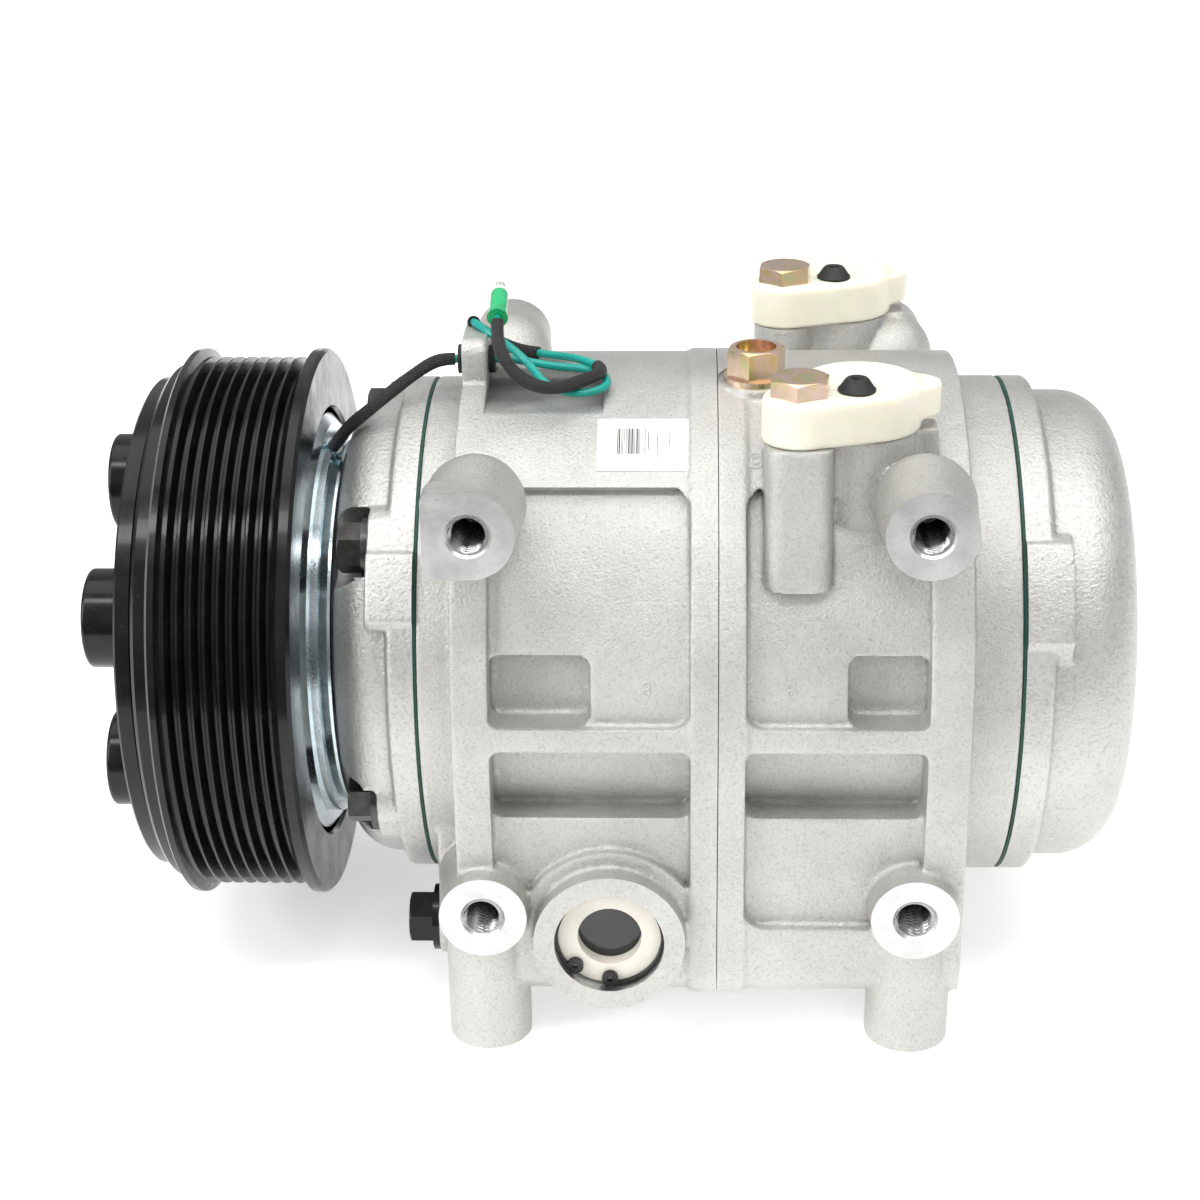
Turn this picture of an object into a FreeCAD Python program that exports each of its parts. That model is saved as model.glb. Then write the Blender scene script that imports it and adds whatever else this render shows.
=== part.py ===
import FreeCAD, Part
import math
import os

from FreeCAD import Vector

# Ten-cylinder swash-plate compressor with a poly-V electromagnetic clutch.
# Millimetres. +X runs along the shaft from the clutch to the rear head, +Z is up,
# and the origin is the middle of the four feet on the base plane.

# ---- cylinder block: the two halves, their gasket planes and the sump ----
AXIS_Z = 92.0
GASKET_FRONT_X = -74.1
GASKET_REAR_X = 84.1
GASKET_THICK = 0.8
SEAM_X = 5.0
SEAM_BAND = 7.2
SEAM_BAND_RISE = 0.8
FLANGE_R = 70.4
BODY_R = 77.5
BODY_X0 = -64.2
BODY_X1 = 70.5
SUMP_Z = 14.0
SUMP_CORNER = 8.0
SUMP_X0 = -71.0

# ---- shallow panels and deep pockets cast into both flanks ----
PANEL_DEPTH = 3.0
UPPER_PANEL_Z = (95.5, 151.6)
LOWER_PANEL_Z = (36.0, 89.0)
UPPER_POCKET_Z = (95.5, 113.8)
LOWER_POCKET_Z = (68.0, 89.0)
UPPER_POCKET_R = 67.0
LOWER_POCKET_R = 69.0
FRONT_PANEL_X = (-54.5, -2.2)
REAR_PANEL_X = (12.2, 59.4)
POCKET_LENGTH = 26.3
REAR_POCKET_LENGTH = 21.0

# ---- feet and side bosses, tapped for M10 ----
MOUNT_X = 57.2
SIDE_Z_LOW = 42.7
SIDE_Z_HIGH = 152.0
SIDE_FACE_Y = 83.3
SIDE_BOSS_R = 11.7
NECK_R = 13.2
NECK_Y = 62.0
EAR_DEPTH = 8.3
THREAD_R = 4.25
FAR_THREAD_R = 4.45
THREAD_DEPTH = 24.0
THREAD_CHAMFER_R = 5.7
FOOT_Y = 70.0
FOOT_R = 11.3
FOOT_HOLE_DEPTH = 20.0

# ---- bores, bolts, pistons, swash plate and shaft ----
BORE_COUNT = 5
BORE_R = 20.0
BORE_PITCH_R = 42.0
BOLT_PITCH_R = 60.5
BOLT_HOLE_R = 4.5
BOLT_ANGLE = 42.6
STEP_ANGLE = 360.0 / BORE_COUNT
BORE_ANGLE = BOLT_ANGLE + STEP_ANGLE / 2
STROKE = 25.0
RUN_GAP = 0.05
PISTON_HALF = 65.0
SLOT_HALF = 38.5
SHOE_R = 7.0
SHOE_STAND = 3.6
SWASH_R = 50.0
SWASH_THICK = 11.0
SWASH_TILT = math.degrees(math.atan(STROKE / 2 / BORE_PITCH_R))
CHAMBER_R = 54.0
CHAMBER_HALF = 23.5
SHAFT_R = 10.0
SHAFT_HOLE_R = 13.0

# ---- joint between the block halves ----
SEAL_HALF = 1.0
SEAL_OUTER = 73.6
SEAL_INNER = 71.8
DOWEL_R = 67.0
DOWEL_PIN_R = 2.5
DOWEL_HALF = 7.0

# ---- heads, valve plates and reeds ----
HEAD_FRONT_X = -97.5
HEAD_REAR_X = 116.0
HEAD_R = 66.4
FRONT_HEAD_STEP_X = -81.8
REAR_HEAD_STEP_X = 92.2
HEAD_PAD_R = 72.0
BOLT_SEAT_X = -87.0
NOSE_R = 20.0
NOSE_X0 = -140.0
VALVE_PLATE_R = 64.0
VALVE_THICK = 3.0
REED_R = 62.0
REED_THICK = 0.5

# ---- clutch: pulley, armature, dampers, bearing and coil ----
PULLEY_FLANGE_R = 78.5
PULLEY_LAND_R = 76.1
GROOVE_PITCH = 3.56
GROOVE_COUNT = 8
GROOVE_DEPTH = 3.6
ROTOR_X0 = -147.8
ROTOR_X1 = -105.3
ARMATURE_R = 70.4
ARMATURE_GAP = 0.5
ARMATURE_THICK = 4.8
DAMPER_COUNT = 5
DAMPER_PITCH_R = 41.4
DAMPER_R = 13.65
DAMPER_ANGLE = 24.8
DAMPER_FACE_X = -165.8
DAMPER_WALL = 1.6
HUB_X0 = -156.6
HUB_X1 = -154.0
NUT_SEAT_X = -160.0
SHAFT_TIP_X = -165.7
BEARING_R = 31.0
BEARING_X0 = -137.5
BEARING_X1 = -113.5
COIL_SEAT_R = 21.5
COIL_SEAT_X = -101.0

# ---- port pads, shipping caps and plugs ----
PORT_TOP_Z = 166.2
PORT_DX = 16.1
PORT_DY = 11.9
PORT_R = 10.5
CAP_THICK = 12.4
CAP_PORT_R = 16.0
CAP_BOLT_X = 25.4
CAP_BOLT_Y = 51.9
CAP_BOLT_R = 9.7
STOPPER_DX = 14.4
STOPPER_DY = 1.5
STOPPER_STEM_R = 3.6
RIB_WIDTH = 17.2
RIB_TOP_Y = 62.3
RIB_FOOT_Y = 68.0
RIB_FOOT_Z = 130.0
OIL_X = 15.4
OIL_Y = -12.0
OIL_SEAT_Z = AXIS_Z + BODY_R - 0.6
OIL_BOSS_R = 10.2
DRAIN_Y = -52.0
DRAIN_Z = 24.0
PLUG_HOLE_R = 5.0

# ---- sight glass, lead lug and label ----
SIGHT_X = -23.7
SIGHT_Z = 34.8
SIGHT_BOSS_R = 20.25
SIGHT_BORE_R = 14.7
SIGHT_SEAT_Y = -71.5
CLIP_EAR_ANGLES = (-90.0, -137.0)
LUG_X0 = -64.2
LUG_X1 = -57.4
LUG_TOP_Z = 180.2
RECESS_X1 = -25.6
RECESS_Z = 164.6
GROMMET_Y = -4.0
GROMMET_Z = 172.4
LABEL_X0 = -26.7
LABEL_X1 = -2.6
LABEL_ANGLE0 = 54.3
LABEL_ANGLE1 = 67.6
LABEL_THICK = 0.2

# ---- routes of the coil wire, chosen by hand ----
WIRE_D = 2.2
COIL_LEAD = [
    (-101.6, -4.2, 147.3), (-99.5, -5.6, 150), (-97.2, -9.4, 153.8), (-93.6, -12.8, 157.8),
    (-89.4, -13.8, 161.4), (-85.6, -12.2, 164.2), (-81.6, -9.4, 166.8), (-77.2, -6.6, 169.4),
    (-73, -4.6, 171.6), (-69.4, -4, 172.4), (-65.8, -4, 172.4)]
CONNECTOR_LEAD = [
    (-55.8, -4, 172.4), (-52.2, -4, 172.4), (-48.4, -2.4, 171.9), (-44.2, 0.4, 171.4),
    (-39.8, 2.4, 171), (-34.8, 1.6, 171), (-30, -2, 171), (-26.4, -7.6, 170.8),
    (-24.8, -13.2, 170.2), (-24.6, -18.6, 169.4), (-27.8, -23, 168.8), (-33, -24.5, 168.6),
    (-38, -22.5, 169.2), (-40.7, -17.8, 170.6), (-43, -13.2, 172.8), (-46, -9.8, 175.4),
    (-49.8, -8.6, 177.8), (-53.8, -7.6, 179.4), (-58.2, -5, 182.2), (-61.6, 0.6, 182.4),
    (-62.2, 7.4, 179.6), (-59.4, 12, 176), (-54.6, 14, 173.4), (-49, 13.6, 172.2),
    (-43.4, 11.6, 172), (-38, 7.8, 172.8), (-33.6, 2, 174), (-30.6, -5, 174.8),
    (-29.8, -12.6, 175), (-31.2, -19.8, 174.6), (-35.4, -25.6, 174.2), (-41, -28.8, 174.8),
    (-46.4, -29, 176.8), (-50.8, -26.4, 179.2), (-53.4, -21.6, 181.4), (-54.4, -15.2, 183.2),
    (-54.5, -8, 185.2)]

X_AXIS = Vector(1, 0, 0)
Y_AXIS = Vector(0, 1, 0)
Z_AXIS = Vector(0, 0, 1)
CENTRE = Vector(0, 0, AXIS_Z)

parts = {}


# ---- helpers ----
def save(name, shape):
    """Keep one sub-part: a single solid, or a group of separate solids."""
    solids = shape.Solids
    parts[name] = solids[0] if len(solids) == 1 else Part.makeCompound(solids)


def clean(shape):
    return shape.removeSplitter()


def fuse(first, *others):
    return clean(first.multiFuse(list(others))) if others else first


def cut(shape, *tools):
    return shape.cut(list(tools))


def cyl_x(x0, x1, radius, y=0.0, z=AXIS_Z):
    return Part.makeCylinder(radius, x1 - x0, Vector(x0, y, z), X_AXIS)


def cyl_y(y0, y1, radius, x, z):
    return Part.makeCylinder(radius, y1 - y0, Vector(x, y0, z), Y_AXIS)


def cyl_z(z0, z1, radius, x, y):
    return Part.makeCylinder(radius, z1 - z0, Vector(x, y, z0), Z_AXIS)


def ring_x(x0, x1, outer, inner, y=0.0, z=AXIS_Z):
    return cut(cyl_x(x0, x1, outer, y, z), cyl_x(x0 - 1, x1 + 1, inner, y, z))


def box(x0, x1, y0, y1, z0, z1):
    return Part.makeBox(x1 - x0, y1 - y0, z1 - z0, Vector(x0, y0, z0))


def prism_x(outline, x0, x1):
    """A prism along X over an outline of (y, z) points."""
    points = [Vector(x0, y, z) for y, z in outline]
    return Part.Face(Part.makePolygon(points + points[:1])).extrude(Vector(x1 - x0, 0, 0))


def turned(profile):
    """Turn a closed outline of (x, radius) points about the shaft axis."""
    points = [Vector(x, 0, AXIS_Z + r) for x, r in profile]
    face = Part.Face(Part.makePolygon(points + points[:1]))
    return face.revolve(CENTRE, X_AXIS, 360)


def turned_path(steps):
    """Turn an outline about the shaft axis; a step of three points is an arc."""
    edges = []
    for step in steps:
        spots = [Vector(x, 0, AXIS_Z + r) for x, r in step]
        if len(spots) == 3:
            edges.append(Part.Arc(*spots).toShape())
        else:
            edges.append(Part.makeLine(*spots))
    return Part.Face(Part.Wire(edges)).revolve(CENTRE, X_AXIS, 360)


def polar_point(radius, angle):
    """A (y, z) place on a circle about the shaft, from the near side upwards."""
    a = math.radians(angle)
    return -radius * math.cos(a), AXIS_Z + radius * math.sin(a)


def spread(make, count, radius, start):
    """make(y, z) at equal steps round the shaft."""
    return [make(*polar_point(radius, start + 360.0 / count * i)) for i in range(count)]


def hex_prism(across_flats, height, base, axis, spin=0.0):
    radius = across_flats / math.sqrt(3)
    points = []
    for i in range(6):
        a = math.radians(60 * i + spin)
        points.append(Vector(radius * math.cos(a), radius * math.sin(a), 0))
    face = Part.Face(Part.makePolygon(points + points[:1]))
    solid = face.extrude(Vector(0, 0, height))
    turn = FreeCAD.Rotation(Z_AXIS, axis)
    solid.Placement = FreeCAD.Placement(base, turn)
    return solid


def hex_head(across_flats, height, base, axis, chamfer=1.2, spin=0.0):
    """A hexagon whose top corners are turned off, as on a bolt."""
    prism = hex_prism(across_flats, height, base, axis, spin)
    top_r = across_flats / 2 * 0.97
    foot_r = top_r + (height - chamfer) * 6
    upper = Part.makeCone(foot_r, top_r, (foot_r - top_r) * 0.5, base, axis)
    length = (foot_r - top_r) * 0.5
    shift = axis * (height - length)
    upper.translate(shift)
    return prism.common(upper)


def slab_y(x0, x1, z0, z1, corner, y0, y1):
    """A rounded rectangle in x and z, drawn out along y."""
    block = box(x0, x1, y0, y1, z0, z1)
    upright = [e for e in block.Edges if abs(e.tangentAt(0).y) > 0.9]
    return block.makeFillet(corner, upright)


def mirror_y(shape):
    return shape.mirror(Vector(0, 0, 0), Y_AXIS)


def hull_z(circles, z0, z1):
    """The upright prism round some circles (x, y, radius), ordered two by two."""
    solid = cyl_z(z0, z1, circles[0][2], circles[0][0], circles[0][1])
    for (xa, ya, ra), (xb, yb, rb) in zip(circles, circles[1:]):
        span = math.hypot(xb - xa, yb - ya)
        lean = math.acos((ra - rb) / span)
        head = math.atan2(yb - ya, xb - xa)
        corners = []
        for side in (1, -1):
            a = head + side * lean
            near = Vector(xa + ra * math.cos(a), ya + ra * math.sin(a), z0)
            far = Vector(xb + rb * math.cos(a), yb + rb * math.sin(a), z0)
            corners += [near, far] if side == 1 else [far, near]
        web = Part.Face(Part.makePolygon(corners + corners[:1])).extrude(Vector(0, 0, z1 - z0))
        solid = solid.fuse([web, cyl_z(z0, z1, rb, xb, yb)])
    return clean(solid)


# ---- cylinder block ----
def block_envelope(x0, x1, radius, floor_z, corner):
    """Half round above the shaft, square sump below it."""
    sump = box(x0, x1, -radius, radius, floor_z, AXIS_Z)
    low = [e for e in sump.Edges
           if abs(e.tangentAt(0).x) > 0.9 and e.CenterOfMass.z < floor_z + 1]
    return clean(sump.makeFillet(corner, low).fuse(cyl_x(x0, x1, radius)))


def side_panels(x0, x1, near_side):
    """The shallow cast panels on one flank, above and below the middle rib."""
    floor_r = BODY_R - PANEL_DEPTH
    upper = slab_y(x0, x1, *UPPER_PANEL_Z, 5, -100, -30).cut(cyl_x(x0 - 1, x1 + 1, floor_r))
    lower = slab_y(x0, x1, *LOWER_PANEL_Z, 6, -100, -(floor_r - 0.2))
    pair = [upper, lower]
    return pair if near_side else [mirror_y(p) for p in pair]


def deep_pocket(x0, x1, z0, z1, floor_r, near_side):
    tool = slab_y(x0, x1, z0, z1, 3, -100, -40).cut(cyl_x(x0 - 1, x1 + 1, floor_r))
    return tool if near_side else mirror_y(tool)


def thread_hole_y(x, z, near_side):
    radius = THREAD_R if near_side else FAR_THREAD_R
    hole = cyl_y(-SIDE_FACE_Y - 1, -SIDE_FACE_Y + THREAD_DEPTH, radius, x, z)
    mouth = Part.makeCone(THREAD_CHAMFER_R + 1, radius, THREAD_CHAMFER_R + 1 - radius,
                          Vector(x, -SIDE_FACE_Y - 1, z), Y_AXIS)
    tool = hole.fuse(mouth)
    return tool if near_side else mirror_y(tool)


def side_boss(x, z, base_r, base_y):
    length = SIDE_FACE_Y - base_y
    lip = 3.0
    tip = cyl_y(-SIDE_FACE_Y, -SIDE_FACE_Y + lip, SIDE_BOSS_R, x, z)
    root = Part.makeCone(SIDE_BOSS_R, base_r, length - lip,
                         Vector(x, -SIDE_FACE_Y + lip, z), Y_AXIS)
    return tip.fuse(root)


def upper_boss(x):
    """The upper side boss on the near flank: a short neck with a domed back end."""
    lip = 3.0
    tip = cyl_y(-SIDE_FACE_Y, -SIDE_FACE_Y + lip, SIDE_BOSS_R, x, SIDE_Z_HIGH)
    neck = Part.makeCone(SIDE_BOSS_R, NECK_R, SIDE_FACE_Y - lip - NECK_Y,
                         Vector(x, -SIDE_FACE_Y + lip, SIDE_Z_HIGH), Y_AXIS)
    dome = Part.makeSphere(NECK_R, Vector(x, -NECK_Y, SIDE_Z_HIGH))
    return tip.fuse([neck, dome])


def foot(x):
    """One upright foot with its lower side boss, on the near flank."""
    column = cyl_z(0, SIDE_Z_LOW, FOOT_R, x, -FOOT_Y)
    web = box(x - FOOT_R + 1.5, x + FOOT_R - 1.5, -FOOT_Y, -52, 12, SIDE_Z_LOW)
    return column.fuse([web, side_boss(x, SIDE_Z_LOW, 14.5, 55.0)])


def foot_hole(x, y):
    return cyl_z(-1, FOOT_HOLE_DEPTH, THREAD_R, x, y)


def outer_half(x_out, x_seam, side):
    """The outside of one block half; side is -1 for the front and 1 for the rear."""
    body_end = BODY_X0 if side < 0 else BODY_X1
    lo, hi = sorted((body_end, x_seam))
    body = block_envelope(lo, hi, BODY_R, SUMP_Z, SUMP_CORNER)
    band_lo, band_hi = sorted((x_seam, x_seam + SEAM_BAND * side))
    band = block_envelope(band_lo, band_hi, BODY_R + SEAM_BAND_RISE, SUMP_Z - SEAM_BAND_RISE,
                          SUMP_CORNER)
    neck = cyl_x(min(x_out, x_seam), max(x_out, x_seam), FLANGE_R)
    shape = body.fuse([band, neck])
    return clean(shape.fuse(bosses(MOUNT_X * side)))


def bosses(x):
    """The foot and the upper side boss on both flanks."""
    near = [foot(x), upper_boss(x)]
    return near + [mirror_y(s) for s in near]


def inner_cuts(x_out, x_seam):
    """Bores, swash chamber, shaft hole and bolt holes of one block half."""
    lo, hi = sorted((x_out, x_seam))
    tools = spread(lambda y, z: cyl_x(lo - 1, hi + 1, BORE_R, y, z),
                   BORE_COUNT, BORE_PITCH_R, BORE_ANGLE)
    tools += spread(lambda y, z: cyl_x(lo - 1, hi + 1, BOLT_HOLE_R, y, z),
                    BORE_COUNT, BOLT_PITCH_R, BOLT_ANGLE)
    lo, hi = sorted((x_seam, x_seam + math.copysign(CHAMBER_HALF, x_out - x_seam)))
    tools.append(cyl_x(lo, hi, CHAMBER_R))
    lo, hi = sorted((x_out, x_seam))
    tools.append(cyl_x(lo - 1, hi + 1, SHAFT_HOLE_R))
    tools += dowels()
    tools.append(ring_x(SEAM_X - SEAL_HALF, SEAM_X + SEAL_HALF, SEAL_OUTER, SEAL_INNER))
    return tools


def front_block():
    x_out = GASKET_FRONT_X + GASKET_THICK / 2
    shape = outer_half(x_out, SEAM_X, -1)
    sump_nose = box(SUMP_X0, BODY_X0 + 1, -62, 62, SUMP_Z + 2, 60)
    low = [e for e in sump_nose.Edges
           if abs(e.tangentAt(0).x) > 0.9 and e.CenterOfMass.z < 30]
    sump_nose = sump_nose.makeFillet(9, low)
    ear = box(-MOUNT_X - SIDE_BOSS_R, -MOUNT_X, -SIDE_FACE_Y, -SIDE_FACE_Y + EAR_DEPTH,
              SIDE_Z_HIGH - SIDE_BOSS_R, SIDE_Z_HIGH + SIDE_BOSS_R)
    upright = [e for e in ear.Edges
               if abs(e.tangentAt(0).y) > 0.9 and e.CenterOfMass.x < -MOUNT_X - 1]
    ear = ear.makeFillet(3, upright)
    sight = cyl_y(-SIDE_FACE_Y, -70, SIGHT_BOSS_R, SIGHT_X, SIGHT_Z)
    lug = box(LUG_X0, LUG_X1, GROMMET_Y - 9.5, GROMMET_Y + 9.5, 160, LUG_TOP_Z)
    tops = [e for e in lug.Edges
            if abs(e.tangentAt(0).x) > 0.9 and e.CenterOfMass.z > LUG_TOP_Z - 1]
    lug = lug.makeFillet(4, tops)
    plug_boss = cyl_x(SUMP_X0 - 0.8, SUMP_X0 + 2, 10, DRAIN_Y, DRAIN_Z)
    shape = clean(shape.fuse([sump_nose, ear, sight, lug, plug_boss]))
    x0, x1 = FRONT_PANEL_X
    tools = side_panels(x0, x1, True) + side_panels(x0, x1, False)
    keep = [cyl_y(-100, -60, SIGHT_BOSS_R + 4, SIGHT_X, SIGHT_Z)] + bosses(-MOUNT_X)
    tools = [t.cut(keep) for t in tools]
    tools.append(box(LUG_X1, RECESS_X1, -40, -3, RECESS_Z, LUG_TOP_Z))
    for near_side in (True, False):
        tools.append(deep_pocket(x0, x0 + POCKET_LENGTH, *UPPER_POCKET_Z, UPPER_POCKET_R, near_side))
        tools.append(deep_pocket(x0, x1, *LOWER_POCKET_Z, LOWER_POCKET_R, near_side))
        tools.append(thread_hole_y(-MOUNT_X, SIDE_Z_LOW, near_side))
        tools.append(thread_hole_y(-MOUNT_X, SIDE_Z_HIGH, near_side))
    tools += [foot_hole(-MOUNT_X, -FOOT_Y), foot_hole(-MOUNT_X, FOOT_Y)]
    tools.append(cyl_y(-SIDE_FACE_Y - 1, SIGHT_SEAT_Y, SIGHT_BORE_R, SIGHT_X, SIGHT_Z))
    tools.append(cyl_y(-SIDE_FACE_Y - 1, -62, 9.0, SIGHT_X, SIGHT_Z))
    tools.append(cyl_y(-SIDE_FACE_Y + 2.4, -SIDE_FACE_Y + 4.0, SIGHT_BORE_R + 0.9,
                       SIGHT_X, SIGHT_Z))
    tools.append(cyl_x(LUG_X0 - 1, LUG_X1 + 1, 3.0, GROMMET_Y, GROMMET_Z))
    tools.append(cyl_x(LUG_X1, LUG_X1 + 2, 4.2, GROMMET_Y, GROMMET_Z))
    tools.append(cyl_x(SUMP_X0 - 2, SUMP_X0 + 14, PLUG_HOLE_R, DRAIN_Y, DRAIN_Z))
    tools += inner_cuts(x_out, SEAM_X)
    save("front_cylinder_block", clean(cut(shape, *tools)))


def port_places():
    """Bolt and port centres of the near and the far pad."""
    return [(CAP_BOLT_X, y, CAP_BOLT_X + PORT_DX, y + PORT_DY)
            for y in (-CAP_BOLT_Y, CAP_BOLT_Y)]


def port_pad(bolt_x, bolt_y, port_x, port_y):
    bolt_column = cyl_z(100, PORT_TOP_Z, 8.9, bolt_x, bolt_y)
    port_column = cyl_z(100, PORT_TOP_Z, 15.2, port_x, port_y)
    web = hull_z([(bolt_x, bolt_y, 6.5), (port_x, port_y, 12.0)], 100, PORT_TOP_Z)
    nub = box(port_x, port_x + 20.3, port_y - 4.5, port_y + 4.5, 130, PORT_TOP_Z)
    return [bolt_column, port_column, web, nub]


def near_bolt_rib():
    """The column under the near cap's bolt; its front leans out towards its foot."""
    half = RIB_WIDTH / 2
    outline = [(-40, RIB_FOOT_Z), (-RIB_FOOT_Y, RIB_FOOT_Z), (-RIB_FOOT_Y, RIB_FOOT_Z + 4),
               (-RIB_TOP_Y, PORT_TOP_Z), (-40, PORT_TOP_Z)]
    rib = prism_x(outline, CAP_BOLT_X - half, CAP_BOLT_X + half)
    edges = [e for e in rib.Edges
             if abs(e.tangentAt(0).x) < 0.1 and e.CenterOfMass.y < -RIB_TOP_Y
             and e.CenterOfMass.z > RIB_FOOT_Z + 1]
    return rib.makeFillet(4.5, edges)


def rear_block():
    x_out = GASKET_REAR_X - GASKET_THICK / 2
    shape = outer_half(x_out, SEAM_X, 1)
    pads = []
    for place in port_places():
        pads += port_pad(*place)
    bolt_rib = near_bolt_rib()
    oil_boss = cyl_z(150, OIL_SEAT_Z, OIL_BOSS_R, OIL_X, OIL_Y)
    shape = clean(shape.fuse(pads + [oil_boss, bolt_rib]))
    x0, x1 = REAR_PANEL_X
    tools = side_panels(x0, x1, True) + side_panels(x0, x1, False)
    solid_pads = [cyl_z(120, PORT_TOP_Z, 15.2, p[2], p[3]) for p in port_places()]
    solid_pads.append(bolt_rib)
    tools = [t.cut(solid_pads + bosses(MOUNT_X)) for t in tools]
    for near_side in (True, False):
        tools.append(deep_pocket(x1 - REAR_POCKET_LENGTH, x1, *UPPER_POCKET_Z, UPPER_POCKET_R,
                                 near_side))
        tools.append(deep_pocket(x0, x1, *LOWER_POCKET_Z, LOWER_POCKET_R, near_side))
        tools.append(thread_hole_y(MOUNT_X, SIDE_Z_LOW, near_side))
        tools.append(thread_hole_y(MOUNT_X, SIDE_Z_HIGH, near_side))
    tools += [foot_hole(MOUNT_X, -FOOT_Y), foot_hole(MOUNT_X, FOOT_Y)]
    for bolt_x, bolt_y, port_x, port_y in port_places():
        tools.append(cyl_z(PORT_TOP_Z - 16, PORT_TOP_Z + 1, 3.4, bolt_x, bolt_y))
        tools.append(cyl_z(PORT_TOP_Z - 12, PORT_TOP_Z + 1, PORT_R, port_x, port_y))
        tools.append(hull_z([(bolt_x, bolt_y, CAP_BOLT_R + 0.4), (port_x, port_y, CAP_PORT_R + 0.4),
                             (port_x + 14.8, port_y + 1.5, 6.6)], PORT_TOP_Z, PORT_TOP_Z + 20))
    tools.append(cyl_z(154, 180, PLUG_HOLE_R, OIL_X, OIL_Y))
    tools.append(cyl_z(OIL_SEAT_Z, 185, OIL_BOSS_R, OIL_X, OIL_Y))
    tools += inner_cuts(x_out, SEAM_X)
    save("rear_cylinder_block", clean(cut(shape, *tools)))


# ---- heads, gaskets and valve plates ----
def bolt_holes(x0, x1):
    return spread(lambda y, z: cyl_x(x0, x1, BOLT_HOLE_R, y, z),
                  BORE_COUNT, BOLT_PITCH_R, BOLT_ANGLE)


def gaskets():
    for name, x in (("front_head_gasket", GASKET_FRONT_X), ("rear_head_gasket", GASKET_REAR_X)):
        half = GASKET_THICK / 2
        sheet = ring_x(x - half, x + half, FLANGE_R - 0.3, VALVE_PLATE_R + 0.05)
        save(name, cut(sheet, *bolt_holes(x - 2, x + 2)))


def valve_plate(name, x0, x1):
    plate = cyl_x(x0, x1, VALVE_PLATE_R)
    tools = [cyl_x(x0 - 1, x1 + 1, 11.5)] + bolt_holes(x0 - 1, x1 + 1)
    for i in range(BORE_COUNT):
        angle = BORE_ANGLE + STEP_ANGLE * i
        for radius, shift in ((30.0, 0.0), (48.0, 12.0), (48.0, -12.0)):
            y, z = polar_point(radius, angle + shift)
            tools.append(cyl_x(x0 - 1, x1 + 1, 3.2, y, z))
    save(name, cut(plate, *tools))


def reed_disc(name, x0, x1):
    disc = cyl_x(x0, x1, REED_R)
    tools = [cyl_x(x0 - 1, x1 + 1, 11.5)] + bolt_holes(x0 - 1, x1 + 1)
    for i in range(BORE_COUNT):
        y, z = polar_point(BORE_PITCH_R, BORE_ANGLE + STEP_ANGLE * i)
        slot = ring_x(x0 - 1, x1 + 1, 15.0, 13.0, y, z)
        a = BORE_ANGLE + STEP_ANGLE * i
        inner_y, inner_z = polar_point(BORE_PITCH_R - 14, a)
        slot = slot.cut(cyl_x(x0 - 2, x1 + 2, 6.0, inner_y, inner_z))
        tools.append(slot)
    save(name, cut(disc, *tools))


def valve_plates():
    """Each plate and its suction reed lie in a recess of the head, on the block's face."""
    block_front = GASKET_FRONT_X + GASKET_THICK / 2
    block_rear = GASKET_REAR_X - GASKET_THICK / 2
    reed_disc("front_suction_reed", block_front - REED_THICK, block_front)
    valve_plate("front_valve_plate", block_front - REED_THICK - VALVE_THICK,
                block_front - REED_THICK)
    reed_disc("rear_suction_reed", block_rear, block_rear + REED_THICK)
    valve_plate("rear_valve_plate", block_rear + REED_THICK,
                block_rear + REED_THICK + VALVE_THICK)


def head_chambers(x_floor, x_face):
    """The suction ring and discharge ring cast into a head."""
    lo, hi = sorted((x_floor, x_face))
    outer = ring_x(lo, hi, 54.0, 41.0)
    inner = ring_x(lo, hi, 37.0, 22.0)
    return [outer, inner]


def head_pad(x0, x1, top_z, front_z, low_z):
    """A raised block on the near flank of a head, flat on top and sloping in below."""
    front_y = -math.sqrt(HEAD_PAD_R ** 2 - (front_z - AXIS_Z) ** 2)
    low_y = front_y + (front_z - low_z) * 0.45
    outline = [(-40, top_z), (-HEAD_PAD_R, top_z), (-HEAD_PAD_R, front_z), (front_y, front_z),
               (low_y, low_z), (-40, low_z)]
    return prism_x(outline, x0, x1).common(ring_x(x0, x1, HEAD_PAD_R, 65.0))


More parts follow.
